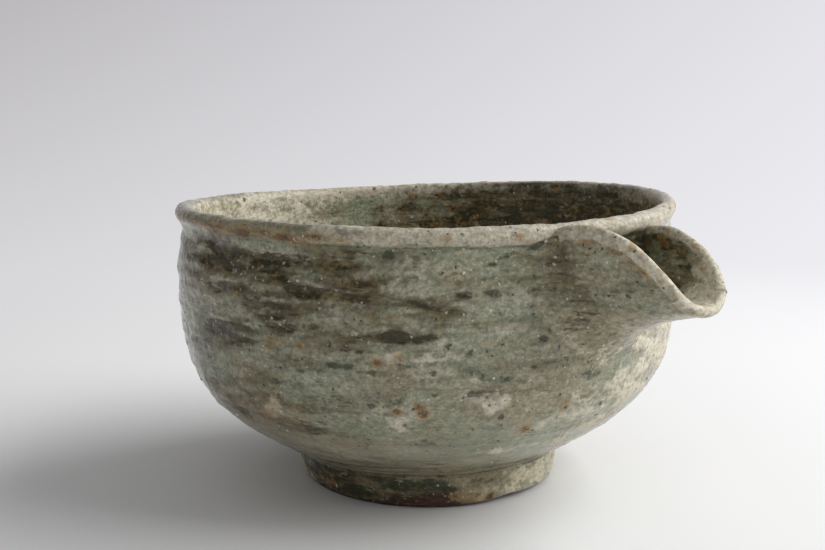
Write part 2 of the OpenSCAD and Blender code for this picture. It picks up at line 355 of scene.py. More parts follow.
# Stains: degrees round from the spout, height in mm, half width and half height in mm, and strength
WALL_STAINS = {
    "film": [
        (-79, 57.2, 7, 2.2, 1.1), (-59, 57.6, 6.5, 1.8, 1.1), (-45, 70, 5.5, 2.6, 1.0),
        (-65, 61.5, 3, 0.7, 1.0), (-59, 48.4, 6.5, 1.2, 1.0), (-37, 50.4, 4.5, 3.3, 0.9),
        (-32, 61.8, 5, 3.2, 0.9), (-75, 48.2, 7, 2, 0.8), (-56, 40.8, 3.5, 2, 0.9),
        (-39, 45.2, 5, 1.9, 1.1), (-26, 54.4, 5, 4.7, 0.9), (-64, 42.2, 3.2, 1.5, 0.9),
        (-29, 37.6, 4, 2.7, 0.9), (-88, 64.8, 6, 0.9, 0.9), (-84, 56, 9, 1.4, 0.8),
        (-20, 58, 8, 5, 0.7), (-98, 58, 6, 9, 0.6), (-8, 34, 6, 6, 0.7), (-30, 70, 6, 3, 0.8),
        (-45, 33, 12, 6, 0.75), (-40, 67, 9, 5, 0.9), (-8, 27, 16, 7, 0.45), (-6, 39, 9, 6, 0.5),
        (-72, 66, 7, 3, 0.5), (-24, 62, 8, 6, 0.7), (-88, 58.5, 12, 1.6, 0.9), (-100, 65, 6, 6, 0.5),
    ],
    "umber": [
        (-88, 65, 34, 11, 1.0), (-56, 66, 20, 9, 0.75), (-92, 52, 26, 10, 0.85), (-86, 34, 28, 12, 0.6),
        (-44, 57, 18, 7, 0.6), (-21, 60, 13, 12, 0.36), (-68, 58, 18, 5, 0.9),
        (-54, 52.5, 15, 4.5, 0.8),
    ],
    "olive": [
        (-70, 57.6, 14, 3.2, 0.55), (-50, 53.6, 12, 3.2, 0.5), (-87, 68.5, 11.5, 5.2, 1.25),
        (-71, 67.8, 8, 4, 1.15), (-56, 67.3, 6, 6, 0.75), (-84, 62.2, 8.5, 1.5, 1.3),
        (-64, 63.4, 5.6, 1.3, 1.3), (-73, 59.1, 7, 2, 1.3), (-69, 59.4, 1.5, 1.2, 1.5),
        (-52, 62.3, 6.6, 1.9, 1.25), (-41, 61, 7.4, 1.9, 1.2), (-33, 64.4, 3, 1.6, 0.9),
        (5, 71.5, 11, 3.2, 1.3), (-86, 50.9, 10.5, 1.9, 1.3), (-68, 54.2, 4.6, 1.3, 1.1),
        (-46, 54.3, 7.2, 3.2, 1.2), (-53, 50.5, 5, 1.7, 1.0), (-65, 28.6, 4.6, 2.8, 0.6),
        (-60, 70.5, 5, 1.8, 0.8), (-78, 53.5, 8, 2, 0.7), (-98, 46, 9, 3, 0.6), (-88, 33, 10, 5, 0.7),
        (-56, 57.4, 3, 0.8, 0.8),
    ],
    "iron": [
        (-71, 50.5, 3.4, 1.8, 0.5), (-49, 47.6, 1.9, 1.3, 1.4), (-45, 48.8, 1.7, 1.0, 1.2),
        (-46, 35.2, 1.8, 1.2, 1.2), (-42, 36.6, 1.8, 1.4, 1.5), (-41, 34.1, 1.6, 1.4, 1.3),
        (-56, 69, 5, 4.6, 0.14), (-90, 68, 3, 4.3, 0.16), (-74, 67.8, 3.2, 3.6, 0.16),
        (-56, 62, 3, 0.9, 0.5), (-79, 30.5, 8, 4, 0.5), (-18, 27.9, 1.7, 2, 0.9),
        (-10, 33.9, 1.3, 2.4, 0.9), (-65, 51.1, 1.7, 1, 0.8), (12, 25, 5, 1.3, 1.2),
        (10, 21.8, 4, 1.0, 1.1), (-82, 60.7, 3.1, 1, 0.7), (-68, 33.6, 1.9, 1.5, 0.7),
        (30, 33, 5, 2, 0.6), (-49, 58.5, 4, 1.4, 0.5), (-36, 76.4, 1.8, 1.5, 0.9),
        (-23, 76.5, 1.8, 1.3, 0.7), (36, 77.3, 1.3, 0.7, 1.5), (-4, 76.2, 2.6, 1, 0.7),
    ],
    "pool": [
        (-64, 44.4, 4.7, 1.0, 1.1), (-57, 46.4, 3.3, 1.1, 1.1), (-50, 44.9, 4.5, 0.5, 1.2),
        (-32, 49.6, 1.9, 1.2, 1.3), (-24, 42.5, 1.6, 1.1, 1.3), (-29, 39.9, 2.9, 1.0, 0.9),
        (-4, 41.2, 7, 2.2, 0.6), (-17, 51.7, 1.4, 1.0, 1.1), (-27, 63.8, 2.6, 1.3, 1.1),
        (-20, 63.8, 2.2, 1.1, 0.9), (-47, 72.6, 1.6, 1.2, 1.1), (-72, 40.3, 1.2, 1.1, 1.4),
        (-59, 51.2, 1, 1.2, 1.1), (-36, 51.5, 1.2, 0.7, 1.1), (-34, 59.1, 2, 0.9, 0.9),
        (-16, 25.2, 9.4, 2.9, 0.36), (-54, 26.1, 7, 3.4, 0.36), (-39, 26.5, 5, 3, 0.34),
        (-19, 45.2, 1.6, 0.8, 1.0), (-17, 75.2, 2, 0.5, 0.9), (-19.2, 74, 2.2, 0.45, 1.0),
        (-22, 72.8, 2.2, 0.45, 0.9), (-24.7, 71.6, 2.2, 0.45, 0.8), (-27.7, 70.2, 2.2, 0.45, 0.7),
        (-50, 38, 10, 3, 0.5), (-30, 44, 8, 2, 0.5), (-12, 46, 8, 3, 0.45), (-69, 59.3, 0.8, 1, 1.2),
    ],
    "cream": [
        (-45, 48.8, 5.6, 2.1, 1.0), (-46, 32.4, 6.4, 5, 0.75), (-26, 36.7, 4, 3, 0.8),
        (-76, 32.5, 8, 3.6, 0.6), (14, 41, 9, 8, 1.3), (11, 33, 10, 7, 1.3), (24, 44, 10, 8, 1.3),
        (-1, 30.2, 7, 3, 0.9), (-17, 50, 2.6, 2.4, 0.6), (-7, 35.7, 2.7, 2.9, 0.9),
        (-31, 42.9, 2.3, 2, 0.8), (34, 38, 12, 12, 1.2), (4, 26, 9, 3, 1.0), (-2, 21, 8, 2.4, 0.8),
        (-12, 30, 6, 3, 0.6), (-2, 46, 6, 3, 0.7), (-20, 22, 9, 2, 0.5),
    ],
}
FOOT_STAINS = {
    "olive": [
        (-105, 5, 24, 8, 1.0), (-72, 6, 18, 8, 0.9), (-48, 3, 14, 6, 0.6), (-75, 1, 10, 2, 0.8),
    ],
    "iron": [
        (-28, 2.6, 6, 2.0, 0.6), (-19, 3, 6, 2, 0.58), (-88, 4.5, 4, 1.8, 0.8),
        (-12, 2.6, 2.2, 1.3, 1.2),
    ],
    "pool": [
        (-52, 6.4, 6, 1.9, 1.6), (-39, 6.0, 7, 2.1, 1.6), (-15, 6.8, 5, 1.4, 0.8),
        (-64, 4, 10, 2.6, 0.7),
    ],
    "cream": [
        (-10, 4.2, 7, 3.2, 1.0), (6, 5.4, 10, 4.6, 1.2), (28, 5, 13, 5, 1.1),
    ],
    "clay": [
        (-44, 2.2, 8, 2.4, 1.3), (-30, 0.2, 20, 0.7, 1.0), (-58, 0.8, 4, 1.0, 0.8),
        (10, 0.2, 16, 0.7, 1.0),
    ],
}
STAIN_KINDS = ("film", "olive", "iron", "pool", "cream", "clay", "tan", "umber")
STREAKED = ("film", "olive", "umber")
# Scattered over the side that the stains above leave empty: how many of a kind, and their half widths in mm
HIDDEN_SIDE = (70, 245)
HIDDEN_STAINS = {
    "film": (16, 3, 8),
    "olive": (20, 4, 12),
    "iron": (26, 1.2, 4),
    "pool": (20, 1.5, 6),
    "cream": (12, 3, 9),
}
HIDDEN_FLATNESS = (0.2, 0.5)
HIDDEN_STRENGTH = (0.7, 1.3)
STAIN_SEED = 11


def scattered_stains(kind, heights):
    """Stains of a kind over the side that the listed ones leave empty."""
    chance = np.random.default_rng([STAIN_SEED, STAIN_KINDS.index(kind)])
    count, narrow, wide = HIDDEN_STAINS[kind]
    found = []
    for _ in range(count):
        half_width = chance.uniform(narrow, wide)
        found.append((chance.uniform(*HIDDEN_SIDE), chance.uniform(*heights), half_width,
                      half_width * chance.uniform(*HIDDEN_FLATNESS), chance.uniform(*HIDDEN_STRENGTH)))
    return found


def brushed(points):
    """Noise drawn out round the pot, as a dragged tool leaves it."""
    broad = hand_noise(points, 15, 2.4, 21)
    narrow = hand_noise(points, 6, 1.4, 22)
    hairs = hand_noise(points, 2.2, 1.1, 23)
    return 1.5 * (broad + 0.65 * narrow + 0.5 * hairs)


def crumbly(points):
    """Noise with no direction, as crusts and pools have along their edges."""
    return 1.5 * (hand_noise(points, 5, 4, 24) + 0.7 * hand_noise(points, 2, 2, 25))


def stain_marks(points, tables, heights=None):
    """How far each kind of stain covers each point, with outlines broken up as the kiln left them."""
    degrees = degrees_round(points)
    radius = from_axis(points)
    sway = 0.7 * hand_noise(points, 6, 4, 12)
    drift = 0.7 * hand_noise(points, 8, 3, 13)
    streaks, crumbs = brushed(points), crumbly(points)
    marks = {}
    for kind, stains in tables.items():
        total = np.zeros(len(points))
        extra = scattered_stains(kind, heights) if heights and kind in HIDDEN_STAINS else []
        for azimuth, height, half_width, half_height, strength in stains + extra:
            away = (degrees - azimuth + 180) % 360 - 180
            across = np.radians(away) * radius / (half_width * MM) + sway
            up = (points[:, 2] - height * MM) / (half_height * MM) + drift
            total = np.maximum(total, strength * np.exp(-across ** 2 - up ** 2))
        rough = streaks if kind in STREAKED else crumbs
        marks[kind] = np.clip(0.85 * total + 0.4 * rough * np.minimum(1, 2.5 * total), 0, 1)
    return marks


def deepen(marks, kind, *values):
    """Make a kind of stain at least as strong as the values."""
    for value in values:
        marks[kind] = np.maximum(marks[kind], value)


# Meshes

MERGE_DISTANCE = 0.002 * MM


def ring_faces(rings, around, closed=False):
    """Quads between rings of points, each running all round, and back to the first ring if closed."""
    index = np.arange(rings * around).reshape(rings, around)
    after = np.roll(index, -1, axis=1)
    quads = np.stack([index, after, np.roll(after, -1, axis=0), np.roll(index, -1, axis=0)], axis=-1)
    kept = quads if closed else quads[:-1]
    return kept.reshape(-1, 4).tolist()


def capped_faces(rings, around):
    """Quads between rings of points, with a face over each end."""
    first = list(range(around))
    last = list(range((rings - 1) * around, rings * around))
    return ring_faces(rings, around) + [first, last]


def new_mesh(name, points, faces, marks=None):
    """A smooth mesh with its marks, its doubles merged and its faces turned outwards."""
    mesh = bpy.data.meshes.new(name)
    mesh.from_pydata(points.tolist(), [], faces)
    if marks:
        set_marks(mesh, marks)
    work = bmesh.new()
    work.from_mesh(mesh)
    bmesh.ops.remove_doubles(work, verts=work.verts, dist=MERGE_DISTANCE)
    bmesh.ops.recalc_face_normals(work, faces=work.faces)
    if work.calc_volume(signed=True) < 0:
        bmesh.ops.reverse_faces(work, faces=work.faces)
    work.to_mesh(mesh)
    work.free()
    mesh.shade_smooth()
    return mesh


def mesh_points(mesh):
    """The mesh's points as rows of x, y and z."""
    flat = np.zeros(3 * len(mesh.vertices))
    mesh.vertices.foreach_get("co", flat)
    return flat.reshape(-1, 3)


def set_points(mesh, points):
    """Move the mesh's points."""
    mesh.vertices.foreach_set("co", points.ravel())
    mesh.update()


def set_marks(mesh, marks):
    """Keep each mark on the mesh's points, for its material and for the grit."""
    for name in (*STAIN_KINDS, "grit"):
        values = np.clip(marks.get(name, np.zeros(len(mesh.vertices))), 0, 1)
        layer = mesh.attributes.new(name, "FLOAT", "POINT")
        layer.data.foreach_set("value", values.astype(np.float32))


def add_piece(name, mesh, material, node):
    """The finished piece: it rides on the pot's one body and stands for a CAD node."""
    piece = bpy.data.objects.new(name, mesh)
    bpy.context.scene.collection.objects.link(piece)
    mesh.materials.append(material)
    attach(piece, BODY)
    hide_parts(node)


def turned_points(line, around):
    """Points of a line of radius and height, turned round the pot's axis, ring by ring."""
    angle = np.linspace(0, 2 * math.pi, around, endpoint=False)
    radius = line[:, :1]
    height = np.repeat(line[:, 1:], around, axis=1)
    return np.stack([radius * np.cos(angle), radius * np.sin(angle), height], axis=-1).reshape(-1, 3)


def line_normals(line):
    """Directions square to a line of radius and height, on its right-hand side."""
    run = unit(np.gradient(line, axis=0))
    return np.stack([run[:, 1], -run[:, 0]], axis=1)


# Bowl

BOWL_AROUND = 440
OUTSIDE_SPACING = 0.82 * MM
INSIDE_SPACING = 1.7 * MM
UNDERSIDE_SPACING = 4 * MM
# Depths under the outside between which the wall counts as outside and as inside
OUTER_SKIN = (1.5 * MM, 3.2 * MM)
# Width, height and seed of the noise that draws the lines turned above the foot
TURNED_LINES = (70, 1.1, 15)
# Heights in mm between which stains lie, and how far a torn ridge lies over the patch below it
STAINED_HEIGHTS = (18, 74)
RIDGE_STEP = 1.5 * MM
# Heights in mm between which the crest's worn glaze comes in
CREST = (74.2, 75.4)
# Which way round, in radians, the painted shade over the inside is darkest
PAINTED_SHADE_AZIMUTH = 0.75
# Middle and half width, in degrees, of a paler gap in that painted shade, painted light reflected inside the
# bowl
REFLECTED_LIGHT_GAP = (52, 14)
# Degrees round between which the rim's sooty stretch comes in and goes out
SOOTY_IN = (-176, -148)
SOOTY_OUT = (-64, -46)
# The hole's cutter: its points and rings, how square its section is, and how it reaches out and flares
HOLE_AROUND = 72
HOLE_RINGS = 23
HOLE_SQUARE = 0.72
HOLE_REACH = 2.2
HOLE_FLARE = 1.1 * MM
# The least share of the bowl's clay that the hole takes away
HOLE_SHARE = 0.0001


def clay_relief(points, drag):
    """How far throwing, dragging and grit push the surface out at points of the true pot."""
    slow = hand_noise(points, 45, 28, 1)
    sweep = hand_noise(points, 20, 2.6, 2)
    lumps = hand_noise(points, 8, 5, 3)
    grains = hand_noise(points, 1.9, 1.7, 4)
    return (0.35 * slow + 0.38 * drag * sweep + 0.20 * lumps + 0.15 * grains) * MM


def torn_ridges(points, olive):
    """Ridges of torn clay along the upper edges of the olive patches."""
    below = points - np.array([0, 0, RIDGE_STEP])
    under = stain_marks(below, {"olive": WALL_STAINS["olive"]}, STAINED_HEIGHTS)["olive"]
    return np.clip(1.3 * (under - olive), 0, 1)


class BowlSkin:
    """Where each point lies on the bowl, the noises that its stains follow, and the painted shade over its
    inside.
    """

    def __init__(self, sizes, points):
        self.points = points
        self.height = points[:, 2] / MM
        self.degrees = degrees_round(points)
        self.depth = wall_radius(sizes, points[:, 2]) - from_axis(points)
        self.outside = 1 - smooth_step(self.depth, *OUTER_SKIN)
        self.inner = 1 - self.outside
        self.streaks = brushed(points)
        self.crumbs = crumbly(points)
        self.crest = smooth_step(self.height + 0.4 * self.streaks, *CREST)
        # Painted shade: the inside darkens on the side towards the window, where its wall faces away from
        # the light, with a paler gap of painted reflected light
        azimuth = np.arctan2(points[:, 1], points[:, 0])
        self.window_side = np.cos(azimuth - PAINTED_SHADE_AZIMUTH) * smooth_step(from_axis(points), 6 * MM, 50 * MM)
        painted_shade = smooth_step(self.window_side + 0.35 * self.streaks + 0.2 * self.crumbs, -0.55, 0.32)
        self.painted_shade = painted_shade * (1 - 0.75 * hump(self.degrees, *REFLECTED_LIGHT_GAP) * self.inner)


def wall_marks(skin):
    """Stains of the bowl's outside, with its torn ridges, pale partly as painted highlight, and a dark green
    line along the crease under the roll.
    """
    marks = stain_marks(skin.points, WALL_STAINS, STAINED_HEIGHTS)
    marks["ridge"] = torn_ridges(skin.points, marks["olive"])
    # Milky film on the torn ridges, partly the glaze's film and partly a painted highlight on their upper
    # edges
    deepen(marks, "film", 0.9 * marks["ridge"])
    marks = {kind: mark * skin.outside for kind, mark in marks.items()}
    crease = hump(skin.height, 74.3, 0.7) * skin.outside
    deepen(marks, "pool", 0.5 * crease)
    return marks


def rim_marks(skin, marks):
    """Worn tan and pale bloom on the crest, thinned on its inner face by the inside's painted shade, brown
    spots in them, and a sooty band along the rim's face.
    """
    crest, crumbs = skin.crest, skin.crumbs
    sooty = smooth_step(skin.degrees, *SOOTY_IN) * (1 - smooth_step(skin.degrees, *SOOTY_OUT))
    worn = crest * (0.85 + 0.25 * skin.streaks - 0.65 * sooty)
    # Painted shade: tan and bloom are thinned on the inner face where the inside's painted shade falls
    marks["tan"] = np.clip(worn * (1 - 0.6 * skin.inner * skin.painted_shade), 0, 1)
    bloom = 0.35 * crest * smooth_step(crumbs, 0.0, 0.7) * (1 - marks["iron"])
    deepen(marks, "cream", bloom * (1 - 0.7 * skin.inner * skin.painted_shade))
    spots = smooth_step(hand_noise(skin.points, 2.3, 2.3, 27), 0.25, 0.5) * crest
    along = hand_noise(skin.points, 9, 1.5, 28)
    face = 1 - smooth_step(skin.depth, 1.4 * MM, 2.8 * MM)
    band = sooty * face * np.exp(-((skin.height - 76.1 + along) / 1.25) ** 2)
    band *= 0.85 + 0.9 * along + 0.35 * crumbs
    deepen(marks, "iron", 0.5 * spots, band)
    deepen(marks, "olive", 0.45 * crest * face * smooth_step(skin.degrees, 2, 30))


def inside_marks(skin, marks, inside):
    """Olive over the inside's side towards the window, partly the glaze's dark olive and partly painted
    shade, rust in it, and pale dust over the other side.
    """
    # Olive wash over the inside: partly the glaze's colour, partly painted shade
    deepen(marks, "olive", inside * skin.painted_shade)
    deepen(marks, "iron", 0.5 * inside * skin.painted_shade * smooth_step(skin.crumbs, 0.1, 0.8))
    settled = 0.15 * skin.streaks + 0.1 * skin.crumbs - skin.window_side
    deepen(marks, "cream", 0.64 * inside * smooth_step(settled, 0.2, 0.9))


def turned_marks(skin, marks):
    """The lines turned above the foot, dark in their hollows and pale on their ridges, over a band of
    painted shade just above the foot.
    """
    turned = (1 - smooth_step(skin.height + 1.5 * skin.streaks, 12.5, 19)) * skin.outside
    lines = hand_noise(skin.points, *TURNED_LINES)
    # Painted shade: pool green over the belly just above the foot
    deepen(marks, "pool", 0.38 * turned)
    deepen(marks, "olive", 0.8 * turned * smooth_step(lines, 0.08, 0.35))
    deepen(marks, "cream", 0.5 * turned * smooth_step(-lines, 0.15, 0.4))


def bowl_marks(sizes, points):
    """Stains of the bowl, inside and out, among them painted shade inside and above the foot and painted
    highlights on torn ridges, and where grit stands up through its glaze.
    """
    skin = BowlSkin(sizes, points)
    inside = skin.inner * (1 - smooth_step(skin.height, 77.4, 79.0))
    marks = wall_marks(skin)
    rim_marks(skin, marks)
    inside_marks(skin, marks, inside)
    turned_marks(skin, marks)
    gritty = lerp(0.07, 0.65, smooth_step(skin.height, 16, 44)) * skin.outside + 0.2 * inside
    clump = 0.35 + smooth_step(hand_noise(points, 13, 9, 14), -0.2, 0.5)
    marks["grit"] = gritty * clump
    return marks


def hole_cutter(sizes):
    """A flared tube through the wall, whose rounded-square section leaves soft edges on the hole."""
    half_wall = sizes.wall / 2
    middle = sizes.belly_radius - half_wall
    angle = np.linspace(0, 2 * math.pi, HOLE_AROUND, endpoint=False)
    across = np.sign(np.cos(angle)) * np.abs(np.cos(angle)) ** HOLE_SQUARE
    up = np.sign(np.sin(angle)) * np.abs(np.sin(angle)) ** HOLE_SQUARE
    rings = []
    for place in np.linspace(-HOLE_REACH, HOLE_REACH, HOLE_RINGS):
        grown = HOLE_FLARE * abs(place) ** 3
        turn = across * (sizes.hole_width / 2 + grown) / middle
        radius = middle + place * half_wall
        height = sizes.hole_middle + up * (sizes.hole_height / 2 + grown)
        rings.append(np.stack([radius * np.cos(turn), radius * np.sin(turn), height], axis=-1))
    return new_mesh("hole_cutter", np.concatenate(rings), capped_faces(HOLE_RINGS, HOLE_AROUND))


def closed_volume(mesh):
    """Volume inside a closed mesh."""
    work = bmesh.new()
    work.from_mesh(mesh)
    volume = work.calc_volume(signed=True)
    work.free()
    return volume


def pierced(mesh, cutter):
    """The mesh with the cutter's shape taken out of it."""
    before = closed_volume(mesh)
    whole = bpy.data.objects.new("whole", mesh)
    tool = bpy.data.objects.new("tool", cutter)
    for piece in (whole, tool):
        bpy.context.scene.collection.objects.link(piece)
    cut = whole.modifiers.new("hole", "BOOLEAN")
    cut.object = tool
    cut.operation = "DIFFERENCE"
    cut.solver = "MANIFOLD"
    ready = whole.evaluated_get(bpy.context.evaluated_depsgraph_get())
    result = bpy.data.meshes.new_from_object(ready)
    for piece in (whole, tool):
        bpy.data.objects.remove(piece)
    if closed_volume(result) > (1 - HOLE_SHARE) * before:
        raise RuntimeError("the hole into the spout wasn't cut")
    result.materials.clear()
    return result


def bowl_relief(sizes, points, marks):
    """How far the hand and the stains push the bowl's surface out, above its seat on the foot."""
    height = points[:, 2] / MM
    drag = smooth_step(height, 14, 50) * (1 - smooth_step(height, 71, 75)) + 0.25
    depth = wall_radius(sizes, points[:, 2]) - from_axis(points)
    relief = clay_relief(points, drag) * (1 - 0.6 * smooth_step(depth, *OUTER_SKIN))
    raised = 0.3 * marks["cream"] + 0.4 * marks["ridge"]
    relief += (raised - 0.5 * marks["olive"] - 0.3 * marks["pool"]) * MM
    turned = 1 - smooth_step(height, 13.5, 18)
    relief += 0.45 * MM * turned * hand_noise(points, *TURNED_LINES)
    crest = smooth_step(height, 74.2, 76)
    worn = hand_noise(points, 9, 9, 16) + 0.8 * hand_noise(points, 3.4, 3.4, 17)
    relief += 0.12 * MM * crest * worn
    seat = smooth_step(height, 10.0, 10.8)
    axis = smooth_step(from_axis(points), 1 * MM, 8 * MM)
    return relief * seat * axis


def bowl_mesh(sizes):
    """The thrown bowl: a turned section with its relief, pierced for the spout and warped by hand."""
    underside = np.array([[0, sizes.foot_height], [sizes.base_radius, sizes.foot_height]])
    outside = np.concatenate([outside_line(sizes), roll_line(sizes)])
    line = np.concatenate([
        respaced(underside, UNDERSIDE_SPACING)[:-1],
        respaced(outside, OUTSIDE_SPACING),
        respaced(inside_line(sizes), INSIDE_SPACING)[1:],
    ])
    line[[0, -1], 0] = 0
    points = turned_points(line, BOWL_AROUND)
    out = turned_points(line_normals(line), BOWL_AROUND)
    relief = bowl_relief(sizes, points, bowl_marks(sizes, points))
    whole = new_mesh("bowl_whole", points + out * relief[:, None], ring_faces(len(line), BOWL_AROUND))
    mesh = pierced(whole, hole_cutter(sizes))
    mesh.name = "bowl_glazed"
    points = mesh_points(mesh)
    set_marks(mesh, bowl_marks(sizes, points))
    set_points(mesh, hand_warp(sizes, points))
    mesh.shade_smooth()
    return mesh


# Spout

SPOUT_RINGS = 90
SPOUT_ACROSS = 110
EDGE_TURNS = 8
TIP_TURNS = 7
# How deep the root sits in the wall, and how far under the neck the edges start
ROOT_DEPTH = 2.0 * MM
EDGE_DROP = 3.3 * MM
# Angles above level at which the keel leaves the root and meets the lip, and its guides as shares of its run
KEEL_RISE = math.radians(36)
LIP_RISE = math.radians(7)
KEEL_GUIDES = (0.45, 0.3)
# Length in mm over which the lip's worn edge is measured along the spout
SPOUT_RUN = 36
# How many times the search for where the spout meets the wall halves its range
HALVINGS = 40
# Half the angle through which the section bends at the lip
LIP_OPENING = math.radians(58)
# Guides of the two edges in mm: two set out from the rim's crest, and one back from the lip's tip
NEAR_EDGE = ((-1.2, 13.4, 5.0), (15.4, 17.1, 0.2), (-1.9, 7.9, 3.0))
FAR_EDGE = ((-1.3, 12.4, -0.8), (15.6, 17.6, -2.9), (-1.9, 7.8, 4.2))


class SpoutForm:
    """The spout's middle surface and skins: s runs from root to lip, and a across it in degrees."""

    def __init__(self, sizes):
        self.sizes = sizes
        rim = sizes.rim_radius
        self.tip = rim + sizes.spout_reach - sizes.lip_thickness / 2
        root_radius = rim - sizes.wall
        root = math.sqrt(root_radius ** 2 - sizes.root_width ** 2 / 4)
        self.keel_root = sizes.belly_radius - sizes.wall - sizes.spout_wall / 2
        self.run = self.tip - self.keel_root
        crest = sizes.bowl_height
        start = np.array([root, sizes.root_width / 2, crest - sizes.rim_band - EDGE_DROP])
        over_rim = np.array([rim, 0, crest])
        at_lip = np.array([self.tip, 0, sizes.lip_height])
        bases = np.array([over_rim, over_rim, at_lip])
        self.near, self.far = ([start, *(bases + MM * np.array(edge))] for edge in (NEAR_EDGE, FAR_EDGE))
        low, high = (part * self.run for part in KEEL_GUIDES)
        self.keel = [
            (self.keel_root, 0, sizes.root_height),
            (self.keel_root + low * math.cos(KEEL_RISE), 0, sizes.root_height + low * math.sin(KEEL_RISE)),
            (self.tip - high * math.cos(LIP_RISE), 0, sizes.lip_height - high * math.sin(LIP_RISE)),
            (self.tip, 0, sizes.lip_height),
        ]

    def middle(self, s, a):
        """Points of the middle surface."""
        s, a = np.broadcast_arrays(np.asarray(s, float), np.radians(a))
        edge = np.where((a < 0)[..., None], cubic(self.near, s), cubic(self.far, s))
        keel = cubic(self.keel, s)
        widest = lerp(math.pi / 2, LIP_OPENING, s ** 2)
        bend = a / (math.pi / 2) * widest
        rise = (1 - np.cos(bend)) / (1 - np.cos(widest))
        return np.stack([
            lerp(keel[..., 0], edge[..., 0], rise),
            edge[..., 1] * np.sin(bend) / np.sin(widest),
            lerp(keel[..., 2], edge[..., 2], rise),
        ], axis=-1)

    def directions(self, s, a):
        """Directions along the spout, across it and out of its underside."""
        s, a = np.broadcast_arrays(np.asarray(s, float), np.asarray(a, float))
        step, turn = 0.004, 0.5
        run = unit(self.middle(np.minimum(s + step, 1), a) - self.middle(np.maximum(s - step, 0), a))
        across = unit(self.middle(s, np.minimum(a + turn, 90)) - self.middle(s, np.maximum(a - turn, -90)))
        return run, across, unit(np.cross(across, run))

    def half(self, s, a):
        """Half the thickness, which thins towards the edges and the lip."""
        thin = np.maximum((np.abs(a) / 90) ** 3, np.asarray(s) ** 4)
        return lerp(self.sizes.spout_wall, self.sizes.lip_thickness, thin) / 2

    def skin(self, s, a, turn=0.0, tip=0.0):
        """Points of the skin: turn goes round an edge, and tip over the lip, both in degrees."""
        run, across, out = self.directions(s, a)
        half = np.broadcast_to(self.half(s, a), run.shape[:-1])[..., None]
        turn = np.broadcast_to(np.radians(turn), run.shape[:-1])[..., None]
        tip = np.broadcast_to(np.radians(tip), run.shape[:-1])[..., None]
        lean = np.sum(run * across, axis=-1, keepdims=True)
        ring = np.cos(turn) * out + np.sin(turn) * unit(across - lean * run)
        return self.middle(s, a) + half * (np.sin(tip) * unit(run - lean * across) + np.cos(tip) * ring)

    def meets_wall(self, a, depth, skin):
        """Where along the spout a skin stands out of the bowl by a depth, at each angle across."""
        low, high = np.zeros_like(a), np.ones_like(a)
        for _ in range(HALVINGS):
            s = (low + high) / 2
            p = skin(s, a)
            out = from_axis(p) - wall_radius(self.sizes, p[:, 2])
            high = np.where(out > depth, s, high)
            low = np.where(out > depth, low, s)
        return (low + high) / 2


def spout_marks(points, s, a, inner, from_edge):
    """Stains of the spout: a pale worn edge, brown flecks beside it, painted shade down the trough and
    painted light on the pale floor by the lip.
    """
    crumbs = crumbly(points)
    border = np.minimum(from_edge, (1 - s) * SPOUT_RUN * MM)
    bare, glazed = lerp(1.0, -0.5, inner) * MM, lerp(2.6, 1.2, inner) * MM
    edge = 1 - smooth_step(border + 0.3 * MM * crumbs, bare, glazed)
    beside = hump(border, 2.9 * MM, 1.0 * MM)
    flecks = smooth_step(hand_noise(points, 1.9, 1.9, 26), 0.12, 0.42)
    flecks *= 1 - smooth_step(border, 2 * MM, 5 * MM)
    root = hump(s, 0.23, 0.1) * smooth_step(-a, 5, 55) * (1 - inner)
    reach = lerp(0.42, 0.7, smooth_step(a, -10, 60))
    pale = smooth_step(s - reach + 0.05 * crumbs, -0.12, 0.14)
    # Painted shade: dark olive down the trough, up to where the lip's floor turns pale
    trough = inner * (1 - pale) * (1 - edge) * (0.5 + 0.3 * crumbs)
    # Painted light: pale cream over the floor by the lip
    floor = inner * pale * (1.05 + 0.3 * crumbs)
    stained = (1 - inner) * (0.03 + 0.3 * (1 - smooth_step(s, 0.15, 0.4)) + 0.2 * crumbs)
    iron = [beside * (0.3 + 0.45 * crumbs), 0.5 * flecks, root * (0.12 + 0.3 * crumbs)]
    return {
        "tan": edge,
        "umber": root * (0.75 + 0.3 * crumbs),
        "cream": np.maximum(edge * (0.5 + 0.5 * crumbs), floor),
        "iron": np.maximum.reduce(iron),
        "olive": np.maximum(trough, stained),
        "film": 0.4 * crumbs * (1 - inner),
        "grit": (0.12 + 0.5 * edge) * (1 - inner) + 0.15 * inner,
    }


